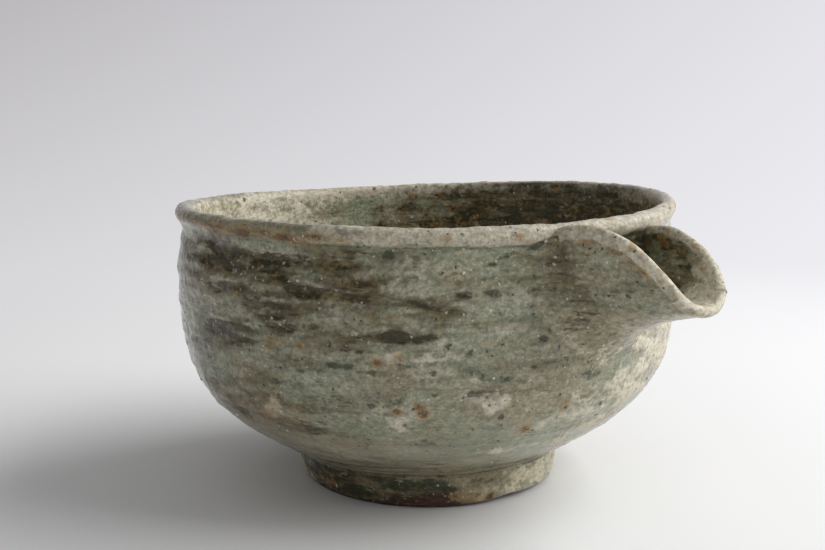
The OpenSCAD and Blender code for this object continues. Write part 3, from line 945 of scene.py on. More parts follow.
def spout_mesh(sizes):
    """The open trough, as one closed sheet with rounded edges and a rounded lip."""
    form = SpoutForm(sizes)
    angles = np.linspace(-90, 90, SPOUT_ACROSS)
    turns = np.linspace(0, 180, EDGE_TURNS + 2)[1:-1]
    tips = np.linspace(0, 90, TIP_TURNS + 1)[1:]
    a = np.concatenate([angles, np.full(EDGE_TURNS, 90), angles[::-1], np.full(EDGE_TURNS, -90)])
    turn = np.concatenate([np.zeros(SPOUT_ACROSS), turns, np.full(SPOUT_ACROSS, 180), 180 + turns])
    inner = (np.cos(np.radians(turn)) < 0).astype(float)
    around = len(a)
    rings = SPOUT_RINGS + TIP_TURNS
    start = form.meets_wall(a, -ROOT_DEPTH, form.middle)
    along = [start + (1 - start) * t for t in np.linspace(0, 1, SPOUT_RINGS)]
    s = np.concatenate(along + [np.ones(around)] * TIP_TURNS)
    tip = np.concatenate([np.zeros(SPOUT_RINGS * around), np.repeat(tips, around)])
    a, turn, inner = (np.tile(values, rings) for values in (a, turn, inner))
    points = form.skin(s, a, turn, tip)
    side = np.where(a < 0, -90.0, 90.0)
    from_edge = np.linalg.norm(form.middle(s, a) - form.middle(s, side), axis=1)
    marks = spout_marks(points, s, a, inner, from_edge)
    run, across, out = form.directions(s, a)
    lumps = hand_noise(points, 11, 9, 5)
    grains = hand_noise(points, 1.8, 1.8, 6)
    wander = hand_noise(points, 7, 7, 7)
    edge = smooth_step(np.abs(a), 60, 90) * np.sign(a)
    points = points + out * ((0.28 * lumps + 0.12 * grains) * MM)[:, None]
    points = points + across * (0.35 * MM * edge * wander)[:, None]
    points = points + run * (0.3 * MM * smooth_step(s, 0.8, 1) * wander)[:, None]
    faces = ring_faces(rings, around) + root_cap(around)
    return new_mesh("spout_glazed", hand_warp(sizes, points), faces, marks)


def root_cap(around):
    """Quads that close the sheet's root, between its underside and its trough."""
    outer = list(range(SPOUT_ACROSS))
    inner = [SPOUT_ACROSS + EDGE_TURNS + k for k in range(SPOUT_ACROSS)][::-1]
    faces = [[outer[k], inner[k], inner[k + 1], outer[k + 1]] for k in range(SPOUT_ACROSS - 1)]
    right = list(range(SPOUT_ACROSS - 1, SPOUT_ACROSS + EDGE_TURNS + 1))
    left = list(range(2 * SPOUT_ACROSS + EDGE_TURNS - 1, around)) + [0]
    return faces + [right, left]


# Slip smeared round the spout's root

SLIP_ALONG = 150
SLIP_ACROSS = 26
# How deep the smear's back lies in the wall, and how far its two borders are pressed into what they meet
SLIP_DEPTH = 1.6 * MM
WALL_PRESS = 0.2 * MM
SPOUT_PRESS = 0.15 * MM
# How far in mm the smear climbs onto the spout, at its edges and at its keel
SLIP_CLIMB = (1.3, 9.5)


def slip_reach(a):
    """How far the slip is smeared over the wall: widest where a thumb dragged it under the rim."""
    thumb = smooth_step(-a, 35, 90)
    far = smooth_step(a, 40, 90)
    return (6.5 + 15 * thumb + 4 * far) * MM


def slip_border(sizes, root, a):
    """Where the smear ends on the wall, all along the line where the spout meets it."""
    arc = np.arctan2(root[:, 1], root[:, 0])
    flat = np.stack([arc * sizes.belly_radius, root[:, 2]], axis=1)
    spread = flat + line_normals(flat) * slip_reach(a)[:, None]
    height = np.minimum(spread[:, 1], sizes.bowl_height - sizes.rim_band)
    radius = wall_radius(sizes, height) - WALL_PRESS
    turn = spread[:, 0] / sizes.belly_radius
    return np.stack([radius * np.cos(turn), radius * np.sin(turn), height], axis=1)


def spout_slip_mesh(sizes):
    """A smear of slip that runs from the wall up onto the spout's underside, tangent to both."""
    form = SpoutForm(sizes)
    a = np.linspace(-90, 90, SLIP_ALONG)
    root = form.skin(form.meets_wall(a, 0.0, form.skin), a)
    climb = lerp(*SLIP_CLIMB, np.maximum(np.cos(np.radians(a)), 0) ** 0.7) * MM
    end = form.meets_wall(a, climb, form.skin)
    upper = form.skin(end, a) - form.directions(end, a)[2] * SPOUT_PRESS
    lower = slip_border(sizes, root, a)
    t = np.linspace(0, 1, SLIP_ACROSS)[:, None, None]
    front = (1 - t) ** 2 * lower + 2 * t * (1 - t) * root + t ** 2 * upper
    back = root.copy()
    back[:, :2] *= ((from_axis(root) - SLIP_DEPTH) / from_axis(root))[:, None]
    rows = np.concatenate([front, back[None]])
    count = len(rows)
    points = rows.transpose(1, 0, 2).reshape(-1, 3)
    marks = slip_marks(points, np.repeat(a, count), np.tile(np.linspace(0, 1, count), SLIP_ALONG))
    shown = np.tile(np.concatenate([np.ones(SLIP_ACROSS), [0]]), SLIP_ALONG)
    relief = clay_relief(points, 0.3) * shown
    points[:, :2] += unit(points[:, :2]) * relief[:, None]
    return new_mesh("spout_slip_smear", hand_warp(sizes, points), capped_faces(SLIP_ALONG, count), marks)


def slip_marks(points, a, t):
    """Stains of the slip: green at its upper end, partly pooled glaze and partly painted shade of the crease
    there, a painted highlight along its middle, and brown where the spout rises.
    """
    marks = stain_marks(points, WALL_STAINS)
    under = smooth_step(-a, -10, 15) * (1 - smooth_step(-a, 50, 68))
    # Pool green along the smear's upper end: pooled glaze, and painted shade of the crease it stands proud
    # of
    deepen(marks, "pool", 0.36 * smooth_step(-a, 86.5, 90))
    deepen(marks, "umber", 0.6 * smooth_step(-a, 30, 75) * smooth_step(t, 0.5, 0.9))
    deepen(marks, "olive", 0.28)
    # Painted highlight: milky film along the smear's middle, under the spout's near side
    deepen(marks, "film", 0.9 * under * hump(t, 0.3, 0.14))
    marks["grit"] = np.full(len(points), 0.7)
    return marks


# Foot and its slip

FOOT_AROUND = 380
FOOT_SPACING = 0.6 * MM
# Heights in mm between which the foot's stains lie
FOOT_STAINED = (1, 9)
# How far the foot's edge is worn up on its spout side, and over how much of its width
FOOT_LIFT = 1.7 * MM
LIFTED_WIDTH = 4 * MM
# Points round the slip's bead, and how far it laps over the foot and the bowl
BEAD_STEPS = 12
BEAD_OVERLAP = 0.25 * MM


def foot_line(sizes, top):
    """The foot ring's section, from the top of its inner wall down over the land and up its outside."""
    land_in = sizes.foot_radius - sizes.foot_land
    soft = 0.9 * MM
    corners = [
        (land_in - sizes.foot_inner_run, top),
        (land_in - 0.3 * MM, soft),
        (land_in + soft, 0),
        (sizes.foot_radius - 1.2 * MM, 0),
        (sizes.foot_radius - 0.1 * MM, 0.5 * MM),
        (sizes.foot_radius + 0.6 * MM, 1.8 * MM),
        (lerp(sizes.foot_radius, sizes.foot_top_radius, 0.7), 4.6 * MM),
        (sizes.foot_top_radius - 0.1 * MM, 7.4 * MM),
        (sizes.foot_top_radius, top),
    ]
    return np.array(corners)


def foot_mesh(sizes):
    """The turned ring, rough where the glaze stops and chipped along its edge."""
    corners = foot_line(sizes, SLIP_LOW.z)
    sides = [respaced(corners[k:k + 2], FOOT_SPACING)[:-1] for k in range(len(corners) - 1)]
    line = np.concatenate(sides + [corners[-1:]])
    points = turned_points(line, FOOT_AROUND)
    out = turned_points(line_normals(line), FOOT_AROUND)
    marks = foot_marks(points)
    height = points[:, 2] / MM
    relief = clay_relief(points, 0.5) * 1.2
    relief -= 0.35 * MM * marks["clay"] - 0.25 * MM * marks["cream"]
    chips = hand_noise(points, 6, 40, 8)
    relief -= 0.9 * MM * hump(height, 0.6, 1.0) * smooth_step(chips, 0.15, 0.6)
    free = smooth_step(height, 0.05, 0.8) * (1 - smooth_step(height, 8.6, 9.2))
    points = points + out * (relief * free)[:, None]
    side = hump(degrees_round(points), 2, 26)
    worn = smooth_step(from_axis(points), sizes.foot_radius - LIFTED_WIDTH, sizes.foot_radius)
    points[:, 2] = np.maximum(points[:, 2], FOOT_LIFT * side * worn)
    faces = ring_faces(len(line), FOOT_AROUND, closed=True)
    return new_mesh("foot_ring_glazed", hand_warp(sizes, points), faces, marks)


def foot_marks(points):
    """Stains of the foot: bare clay on the land and in patches, and crust on its spout side."""
    marks = stain_marks(points, FOOT_STAINS, FOOT_STAINED)
    height = points[:, 2] / MM
    land = 1 - smooth_step(height, 0.2, 1.2)
    inside = 1 - smooth_step(from_axis(points), 31 * MM, 33.5 * MM)
    deepen(marks, "clay", land, inside)
    marks["grit"] = 0.8 * smooth_step(height, 1.4, 2.4) * (1 - inside)
    return marks


def foot_slip_mesh(sizes):
    """The bead of slip tooled into the crease between the foot and the bowl."""
    low, high = SLIP_LOW.z, SLIP_HIGH.z
    inner = sizes.foot_radius - sizes.foot_land - sizes.foot_inner_run
    outer = sizes.foot_top_radius
    angle = np.radians(np.linspace(-90, 90, BEAD_STEPS))
    across = outer + (SLIP_HIGH.x - outer) * np.cos(angle)
    up = (low + high) / 2 + ((high - low) / 2 + BEAD_OVERLAP) * np.sin(angle)
    line = np.concatenate([[(inner, low)], np.stack([across, up], axis=1), [(inner, high)]])
    points = turned_points(line, FOOT_AROUND)
    wobble = hand_noise(points, 9, 9, 9) * smooth_step(from_axis(points), outer - 2 * MM, outer)
    points[:, :2] += unit(points[:, :2]) * (0.3 * MM * wobble)[:, None]
    marks = {"pool": 0.28 + 0.5 * wobble, "olive": np.full(len(points), 0.3)}
    faces = ring_faces(len(line), FOOT_AROUND, closed=True)
    return new_mesh("foot_slip_bead", hand_warp(sizes, points), faces, marks)


# Materials

class Wiring:
    """Adds nodes to one tree, a short call for each, and links them."""

    def __init__(self, tree):
        self.tree = tree

    def put(self, value, socket):
        """Link a socket's value, or set it where it is a constant."""
        if isinstance(value, bpy.types.NodeSocket):
            self.tree.links.new(value, socket)
        else:
            socket.default_value = value

    def add(self, kind, sockets=None, **settings):
        """A node with its settings, and its sockets linked or set by name or number."""
        node = self.tree.nodes.new(kind)
        for name, value in settings.items():
            setattr(node, name, value)
        for name, value in (sockets or {}).items():
            self.put(value, node.inputs[name])
        return node

    def maths(self, operation, first, second):
        """One sum."""
        return self.add("ShaderNodeMath", {0: first, 1: second}, operation=operation).outputs[0]

    def times(self, first, second):
        """One value times another."""
        return self.maths("MULTIPLY", first, second)

    def weighed(self, *parts):
        """The sum of values, each times its weight."""
        scaled = [self.times(value, weight) for value, weight in parts]
        total = scaled[0]
        for value in scaled[1:]:
            total = self.maths("ADD", total, value)
        return total

    def vectors(self, operation, *given):
        """One sum of vectors."""
        return self.add("ShaderNodeVectorMath", dict(enumerate(given)), operation=operation)

    def between(self, value, low, high, start=0, end=1, kind="SMOOTHSTEP"):
        """From start at low to end at high, easing in and out unless its kind is linear."""
        sockets = {"Value": value, "From Min": low, "From Max": high, "To Min": start, "To Max": end}
        return self.add("ShaderNodeMapRange", sockets, interpolation_type=kind).outputs["Result"]

    def mix(self, factor, first, second, kind="MIX"):
        """One colour over another."""
        node = self.add("ShaderNodeMix", {0: factor}, data_type="RGBA", blend_type=kind)
        for value, socket in ((first, node.inputs[6]), (second, node.inputs[7])):
            linked = isinstance(value, bpy.types.NodeSocket)
            self.put(value if linked else (*value, 1), socket)
        return node.outputs[2]

    def choose(self, factor, first, second, output):
        """Show the first shader, or the second where the factor is 1."""
        node = self.add("ShaderNodeMixShader", {"Fac": factor, 1: first, 2: second})
        self.put(node.outputs["Shader"], self.tree.nodes[output].inputs["Surface"])


class Coat(Wiring):
    """One material, with the textures that its looks are made of."""

    def __init__(self, name):
        self.material = bpy.data.materials.new(name)
        self.material.use_nodes = True
        super().__init__(self.material.node_tree)
        self.shader = self.tree.nodes["Principled BSDF"]
        self.place = self.add("ShaderNodeTexCoord").outputs["Object"]

    def noise_node(self, size, detail, roughness, stretch=(1, 1, 1), twist=0):
        """Noise with features of a size in metres, stretched along x, y and z."""
        scale = [1 / (size * part) for part in stretch]
        place = self.add("ShaderNodeMapping", {"Vector": self.place, "Scale": scale}).outputs["Vector"]
        return self.add("ShaderNodeTexNoise", {
            "Vector": place, "Scale": 1, "Detail": detail, "Roughness": roughness, "Distortion": twist})

    def noise(self, size, detail=3, roughness=0.55, stretch=(1, 1, 1), twist=0):
        """That noise from 0 to 1."""
        return self.noise_node(size, detail, roughness, stretch, twist).outputs["Fac"]

    def rising(self, low, high, start):
        """From start below a height to 1 above another."""
        height = self.add("ShaderNodeSeparateXYZ", {"Vector": self.place}).outputs["Z"]
        return self.between(height, low, high, start)

    def mark(self, name):
        """A mark kept on the mesh's points."""
        return self.add("ShaderNodeAttribute", attribute_name=name).outputs["Fac"]

    def ragged(self, name, edge, low, high, amount=0.9):
        """A mark with its outline broken up by a noise."""
        sockets = {0: edge, 1: amount, 2: -amount / 2}
        shifted = self.add("ShaderNodeMath", sockets, operation="MULTIPLY_ADD").outputs[0]
        return self.between(self.maths("ADD", self.mark(name), shifted), low, high)

    def grey(self, value):
        """A grey colour from a value."""
        sockets = {name: value for name in ("Red", "Green", "Blue")}
        return self.add("ShaderNodeCombineColor", sockets).outputs["Color"]


# A height below the table, for pieces whose glaze is rough all over
CALM_NOWHERE = -40 * MM
# How far above its calm height a glaze is fully rough
CALM_RISE = 26 * MM
# The size of the noise that breaks up the specks, and how far it moves them
JOLT_SIZE = 0.7 * MM
JOLT = 1.1 * MM
BUMP_HEIGHT = 0.5 * MM


class AshGlaze(Coat):
    """Satin ash glaze over gritty clay: clouded, stained, specked and pitted, and calmer below a height."""

    def __init__(self, name, tint, calm=CALM_NOWHERE):
        super().__init__(name)
        self.glaze = bpy.context.scene.pourer_glaze
        jolt = self.noise_node(JOLT_SIZE, 2, 0.5).outputs["Color"]
        self.jolted = self.vectors("MULTIPLY_ADD", jolt, (JOLT,) * 3, self.place).outputs["Vector"]
        self.patch = self.noise(7 * MM, 3, 0.62, (1.7, 1.7, 0.8), 0.5)
        self.streak = self.noise(3 * MM, 3, 0.6, (8, 8, 1), 0.2)
        self.broken = self.noise(3.6 * MM, 3, 0.55, (1.5, 1.5, 1), 0.4)
        self.grain = self.noise(1.1 * MM, 2, 0.5, (1.3, 1.3, 1))
        self.flakes = self.cells(0.8 * MM)[2]
        self.torn = self.weighed((self.broken, 0.75), (self.grain, 0.25))
        self.chipped = self.maths("SUBTRACT", self.weighed((self.grain, 1.3), (self.broken, 0.7)), 0.5)
        self.rough = self.rising(calm, calm + CALM_RISE, 0.4)
        self.cloud()
        self.stain()
        self.fleck()
        self.mottle()
        self.speckle()
        self.cover(1.0, tint, "MULTIPLY")
        self.put(self.base, self.shader.inputs["Base Color"])
        self.gloss()
        self.relief()

    def cover(self, factor, shown, kind="MIX"):
        """Lay a colour over what is there so far."""
        self.base = self.mix(factor, self.base, shown, kind)

    def cells(self, size):
        """Broken cells of a size: the distance from a cell's middle, and two chance values for each cell."""
        node = self.add("ShaderNodeTexVoronoi", {"Vector": self.jolted, "Scale": 1 / size})
        pick = self.add("ShaderNodeSeparateColor", {"Color": node.outputs["Color"]})
        return node.outputs["Distance"], pick.outputs["Red"], pick.outputs["Green"]

    def specks(self, size, chosen, reach):
        """Specks in a chosen share of the cells of a size, with their reach in cells."""
        distance, pick, _ = self.cells(size)
        radius = self.times(self.between(pick, 1 - chosen, 1), reach)
        return self.between(self.maths("SUBTRACT", radius, distance), 0, 0.08)

    def cloud(self):
        """Thick and thin glaze, with milky, pooled and streaked places."""
        glaze = self.glaze
        cloud = self.noise(24 * MM, 3, 0.6, (1.5, 1.5, 0.8), 0.3)
        self.base = self.mix(self.between(cloud, 0.38, 0.62), glaze.celadon, glaze.ash)
        self.cover(self.between(self.patch, 0.5, 0.7, 0, 0.35), glaze.film)
        self.cover(self.between(self.patch, 0.46, 0.30, 0, 0.25), glaze.pool)
        self.cover(self.between(self.streak, 0.5, 0.7, 0, 0.25), glaze.olive)

    def stain(self):
        """The stains that the mesh's marks give."""
        glaze, torn, chipped = self.glaze, self.torn, self.chipped
        drawn = self.weighed((self.streak, 0.7), (self.broken, 0.3))
        score = self.noise(1.5 * MM, 3, 0.6, (4, 4, 1), 0.6)
        gouge = self.maths("SUBTRACT", self.weighed((score, 1.5), (self.broken, 0.7)), 0.6)
        # A mark, the noise that tears its outline and how far, where it starts and is full, and its cover
        stains = (
            ("umber", drawn, 1.3, -0.05, 0.75, 0.66, glaze.umber),
            ("film", torn, 1.8, 0.2, 1.0, 0.75, glaze.film),
            ("olive", drawn, 1.5, 0.0, 0.7, 0.74, glaze.umber),
            ("olive", gouge, 1.9, 0.38, 0.95, 0.86, glaze.olive),
            ("tan", torn, 1.1, 0.15, 0.7, 0.85, glaze.tan),
            ("cream", torn, 1.5, 0.25, 0.85, 0.9, glaze.cream),
            ("pool", chipped, 1.3, 0.3, 0.8, 0.88, glaze.pool),
            ("iron", chipped, 1.1, 0.08, 0.7, 0.66, glaze.ochre),
            ("iron", chipped, 1.1, 0.55, 1.0, 0.85, glaze.iron),
        )
        for kind, edge, amount, low, high, most, shown in stains:
            self.cover(self.times(self.ragged(kind, edge, low, high, amount), most), shown)

    def fleck(self):
        """Milky smears and dark nicks, runs of iron under the rim, and bare clay."""
        glaze = self.glaze
        fleck = self.noise(2.3 * MM, 3, 0.6, (2.2, 2.2, 1), 0.2)
        self.cover(self.times(self.between(fleck, 0.42, 0.3, 0, 0.45), self.rough), glaze.film)
        self.cover(self.times(self.between(fleck, 0.6, 0.68, 0, 0.38), self.rough), glaze.pit)
        runs = self.between(self.noise(1.7 * MM, 2, 0.5, (1, 1, 8)), 0.5, 0.66, 0, 0.5)
        under_rim = self.times(self.mark("umber"), self.rising(58 * MM, 66 * MM, 0))
        self.cover(self.times(runs, under_rim), glaze.iron)
        self.bare = self.ragged("clay", self.chipped, 0.35, 0.6)
        self.cover(self.bare, glaze.clay)

    def mottle(self):
        """Fine light and dark grain."""
        fine = self.noise(0.6 * MM, 0)
        shades = (
            (0.28, self.between(self.grain, 0.3, 0.7, 0.1, 0.9)),
            (0.1, self.flakes),
            (0.14, self.between(fine, 0.25, 0.75, 0.1, 0.9)),
        )
        for amount, value in shades:
            self.cover(self.times(self.rough, amount), self.grey(value), "OVERLAY")

    def speckle(self):
        """Dark pits, rust, and white grains melted into the glaze."""
        glaze = self.glaze
        self.pits = self.maths("MAXIMUM", self.specks(1.5 * MM, 0.4, 0.27), self.specks(6 * MM, 0.35, 0.17))
        self.cover(self.times(self.pits, 0.8), glaze.pit)
        self.cover(self.times(self.specks(3.9 * MM, 0.35, 0.2), 0.55), glaze.iron)
        crowd = self.times(self.between(self.patch, 0.42, 0.6, 0.1, 1), self.rough)
        white = self.maths("MAXIMUM", self.specks(1.2 * MM, 0.5, 0.36), self.specks(3.1 * MM, 0.4, 0.17))
        self.white = self.times(self.times(white, crowd), self.between(self.grain, 0.4, 0.56, 0.3, 1))
        self.cover(self.times(self.white, 0.72), glaze.feldspar)

    def gloss(self):
        """A wet coat, dulled by bare clay, dry crust and worn edges."""
        inputs = self.shader.inputs
        dull = self.maths("MAXIMUM", self.bare, self.ragged("cream", self.torn, 0.25, 0.85, 1.5))
        dull = self.maths("MAXIMUM", dull, self.times(self.mark("tan"), 0.8))
        shine = self.between(self.patch, 0.3, 0.7, 0.36, 0.55)
        self.put(self.maths("MAXIMUM", shine, self.times(dull, 0.75)), inputs["Roughness"])
        self.put(self.between(dull, 0, 1, 1, 0.05), inputs["Coat Weight"])
        inputs["Coat Roughness"].default_value = 0.15
        inputs["Coat IOR"].default_value = 1.24
        inputs["Specular IOR Level"].default_value = 0.2

    def relief(self):
        """Grain, pits and grit too fine for the mesh."""
        ground = self.weighed(
            (self.grain, 0.35), (self.broken, 0.9), (self.flakes, 0.06),
            (self.pits, -0.6), (self.white, 0.4))
        bump = self.add("ShaderNodeBump", {"Strength": 0.75, "Distance": BUMP_HEIGHT, "Height": ground})
        for name in ("Normal", "Coat Normal"):
            self.put(bump.outputs["Normal"], self.shader.inputs[name])


def feldspar_grain():
    """Half-melted feldspar: most grains wear the glaze, some are milky and a few are stained."""
    glaze = bpy.context.scene.pourer_glaze
    coat = Coat("feldspar_grain")
    pick = coat.noise(1.7 * MM, 1)
    base = coat.mix(coat.between(pick, 0.5, 0.6), glaze.film, glaze.feldspar)
    base = coat.mix(coat.between(pick, 0.42, 0.36), base, glaze.ash)
    base = coat.mix(coat.between(pick, 0.3, 0.27), base, glaze.ochre)
    coat.put(base, coat.shader.inputs["Base Color"])
    coat.put(coat.between(pick, 0.3, 0.7, 0.22, 0.5), coat.shader.inputs["Roughness"])
    return coat.material


# Grit

GRIT_SEED = 5
GRIT_DENSITY = 60000
SMALLEST_GRAIN = 0.12 * MM
# The higher this is, the fewer grains are large
GRAIN_POWER = 2.5
# A grain's shape, how far it is sunk in, and how far it tips
GRAIN_SHAPE = (1, 0.75, 0.62)
GRAIN_SUNK = (0, 0, -0.15)
GRAIN_TIP = 0.4


def grit_tree(material):
    """Scatters grains over a surface, thickest where its grit mark is strong, and keeps only the grains."""
    tree = bpy.data.node_groups.new("grit", "GeometryNodeTree")
    face = tree.interface
    face.new_socket("Surface", in_out="INPUT", socket_type="NodeSocketGeometry")
    for name in ("Grains per square metre", "Smallest grain", "Largest grain"):
        face.new_socket(name, in_out="INPUT", socket_type="NodeSocketFloat")
    face.new_socket("Seed", in_out="INPUT", socket_type="NodeSocketInt")
    face.new_socket("Grains", in_out="OUTPUT", socket_type="NodeSocketGeometry")
    grit = Wiring(tree)
    given = grit.add("NodeGroupInput").outputs
    seed = given["Seed"]
    mark = grit.add("GeometryNodeInputNamedAttribute", {"Name": "grit"}, data_type="FLOAT")
    crowd = grit.times(mark.outputs["Attribute"], given["Grains per square metre"])
    spread = grit.add("GeometryNodeDistributePointsOnFaces", {
        "Mesh": given["Surface"], "Density": crowd, "Seed": seed})
    luck = grit.add("FunctionNodeRandomValue", {"Seed": seed}, data_type="FLOAT")
    few = grit.maths("POWER", luck.outputs[1], GRAIN_POWER)
    size = grit.between(few, 0, 1, given["Smallest grain"], given["Largest grain"], "LINEAR")
    grain = grit.add("GeometryNodeMeshIcoSphere", {"Radius": 1.0, "Subdivisions": 1})
    squat = grit.add("GeometryNodeTransform", {
        "Geometry": grain.outputs["Mesh"], "Translation": GRAIN_SUNK, "Scale": GRAIN_SHAPE})
    placed = grit.add("GeometryNodeInstanceOnPoints", {
        "Points": spread.outputs["Points"], "Instance": squat.outputs["Geometry"],
        "Rotation": spread.outputs["Rotation"], "Scale": size})
    turn = grit.add("FunctionNodeRandomValue", {
        0: (-GRAIN_TIP, -GRAIN_TIP, 0), 1: (GRAIN_TIP, GRAIN_TIP, 2 * math.pi), "Seed": seed},
        data_type="FLOAT_VECTOR")
    turned = grit.add("GeometryNodeRotateInstances", {
        "Instances": placed.outputs["Instances"], "Rotation": turn.outputs[0]})
    real = grit.add("GeometryNodeRealizeInstances", {"Geometry": turned.outputs["Instances"]})
    soft = grit.add("GeometryNodeSetShadeSmooth", {"Geometry": real.outputs["Geometry"]})
    coloured = grit.add("GeometryNodeSetMaterial", {
        "Geometry": soft.outputs["Geometry"], "Material": material})
    grit.add("NodeGroupOutput", {"Grains": coloured.outputs["Geometry"]})
    return tree


def add_grit(name, surface, tree, sizes, seed):
    """Grains over one piece, as a plain mesh of their own."""
    piece = bpy.data.objects.new(name, surface.data)
    bpy.context.scene.collection.objects.link(piece)
    scatter = piece.modifiers.new("grit", "NODES")
    scatter.node_group = tree
    values = {
        "Grains per square metre": GRIT_DENSITY,
        "Smallest grain": SMALLEST_GRAIN,
        "Largest grain": sizes.grain,
        "Seed": seed,
    }
    for item in tree.interface.items_tree:
        if item.name in values:
            scatter[item.identifier] = values[item.name]
    ready = piece.evaluated_get(bpy.context.evaluated_depsgraph_get())
    grains = bpy.data.meshes.new_from_object(ready)
    piece.modifiers.clear()
    piece.data = grains
    grains.name = name
    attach(piece, BODY)


# Operators

class POURER_OT_bowl(bpy.types.Operator):
    """Add the thrown bowl with its rolled rim"""

    bl_idname = "pourer.bowl"
    bl_label = "Bowl"

    def execute(self, context):
        mesh = bowl_mesh(context.scene.pourer_sizes)
        material = AshGlaze("bowl_ash_glaze", (1, 1, 1), 16 * MM).material
        add_piece("bowl_glazed", mesh, material, "bowl")
        return {"FINISHED"}


class POURER_OT_foot(bpy.types.Operator):
    """Add the turned foot ring"""

    bl_idname = "pourer.foot"
    bl_label = "Foot ring"

    def execute(self, context):
        mesh = foot_mesh(context.scene.pourer_sizes)
        material = AshGlaze("foot_ash_glaze", (0.9, 0.88, 0.82)).material
        add_piece("foot_ring_glazed", mesh, material, "foot_ring")
        return {"FINISHED"}


class POURER_OT_foot_slip(bpy.types.Operator):
    """Add the bead of slip between the foot and the bowl"""

    bl_idname = "pourer.foot_slip"
    bl_label = "Foot slip"

    def execute(self, context):
        mesh = foot_slip_mesh(context.scene.pourer_sizes)
        material = AshGlaze("foot_slip_glaze", (0.9, 0.92, 0.86)).material
        add_piece("foot_slip_bead", mesh, material, "foot_slip")
        return {"FINISHED"}


class POURER_OT_spout(bpy.types.Operator):
    """Add the open trough spout"""

    bl_idname = "pourer.spout"
    bl_label = "Spout"

    def execute(self, context):
        mesh = spout_mesh(context.scene.pourer_sizes)
        material = AshGlaze("spout_ash_glaze", (1, 1, 1)).material
        add_piece("spout_glazed", mesh, material, "spout")
        return {"FINISHED"}


class POURER_OT_spout_slip(bpy.types.Operator):
    """Add the slip smeared round the spout's root"""

    bl_idname = "pourer.spout_slip"
    bl_label = "Spout slip"

    def execute(self, context):
        mesh = spout_slip_mesh(context.scene.pourer_sizes)
        material = AshGlaze("spout_slip_glaze", (1, 1, 0.97)).material
        add_piece("spout_slip_smear", mesh, material, "spout_slip")
        return {"FINISHED"}


class POURER_OT_grit(bpy.types.Operator):
    """Scatter feldspar grains over the glazed pieces"""

    bl_idname = "pourer.grit"
    bl_label = "Feldspar grit"

    def execute(self, context):
        tree = grit_tree(feldspar_grain())
        carriers = (
            ("bowl", "bowl_glazed", "bowl_glaze"),
            ("spout", "spout_glazed", "spout_glaze"),
            ("smear", "spout_slip_smear", "spout_luting"),
            ("foot", "foot_ring_glazed", "foot_glaze"),
        )
        for turn, (name, carrier, slot) in enumerate(carriers):
            surface = bpy.data.objects[carrier]
            add_grit(name + "_grit", surface, tree, context.scene.pourer_sizes, GRIT_SEED + turn)
        return {"FINISHED"}


# Stage

FLOOR_RADIUS = 8.0
FLOOR_AROUND = 96
FLOOR_FADE = (0.15, 0.5)
# The window's width and height, where it stands, and how far from the pot
WINDOW_SIZE = (1.5, 1.1)
WINDOW_AZIMUTH = math.radians(58)
WINDOW_RISE = math.radians(38)
WINDOW_DISTANCE = 1.3
# Between which directions the background changes sideways and downwards, and the glaze mirrors it
SIDE_SPAN = (-0.34, 0.34)
DOWN_SPAN = (0.08, -0.16)
MIRROR_SPAN = (0.58, 0.9)
CAMERA_AZIMUTH = math.radians(-40.1)
CAMERA_HEADING = math.radians(50.695)
CAMERA_DIP = math.radians(8.884)
CAMERA_LENS = 50
CAMERA_SENSOR = 36
CAMERA_CLIP = (0.01, 50)


def floor_material(stage):
    """Pale matt floor that fades out of the camera's sight far from the pot, so that no horizon shows."""
    coat = Coat("floor_paper")
    coat.put((*stage.floor, 1), coat.shader.inputs["Base Color"])
    coat.put(0.9, coat.shader.inputs["Roughness"])
    coat.put(0.1, coat.shader.inputs["Specular IOR Level"])
    away = coat.vectors("LENGTH", coat.place).outputs["Value"]
    seen = coat.add("ShaderNodeLightPath").outputs["Is Camera Ray"]
    fade = coat.times(coat.between(away, *FLOOR_FADE), seen)
    clear = coat.add("ShaderNodeBsdfTransparent").outputs["BSDF"]
    coat.choose(fade, coat.shader.outputs["BSDF"], clear, "Material Output")
    return coat.material


def add_floor(scene, stage):
    """A wide round floor."""
    angle = np.linspace(0, 2 * math.pi, FLOOR_AROUND, endpoint=False)
    edge = FLOOR_RADIUS * np.stack([np.cos(angle), np.sin(angle), 0 * angle], axis=1)
    mesh = bpy.data.meshes.new("floor")
    mesh.from_pydata(edge.tolist(), [], [list(range(FLOOR_AROUND))])
    mesh.materials.append(floor_material(stage))
    floor = bpy.data.objects.new("floor", mesh)
    scene.collection.objects.link(floor)


def add_window(scene, stage):
    """A large soft light, to the right of the camera, behind and above the pot."""
    lamp = bpy.data.lights.new("window", "AREA")
    lamp.shape = "RECTANGLE"
    lamp.size, lamp.size_y = WINDOW_SIZE
    lamp.energy = stage.key
    level = math.cos(WINDOW_RISE)
    way = (math.cos(WINDOW_AZIMUTH) * level, math.sin(WINDOW_AZIMUTH) * level, math.sin(WINDOW_RISE))
    place = WINDOW_DISTANCE * Vector(way)
    window = bpy.data.objects.new("window", lamp)
    window.location = place
    window.rotation_euler = (-place).to_track_quat("-Z", "Y").to_euler()
    scene.collection.objects.link(window)


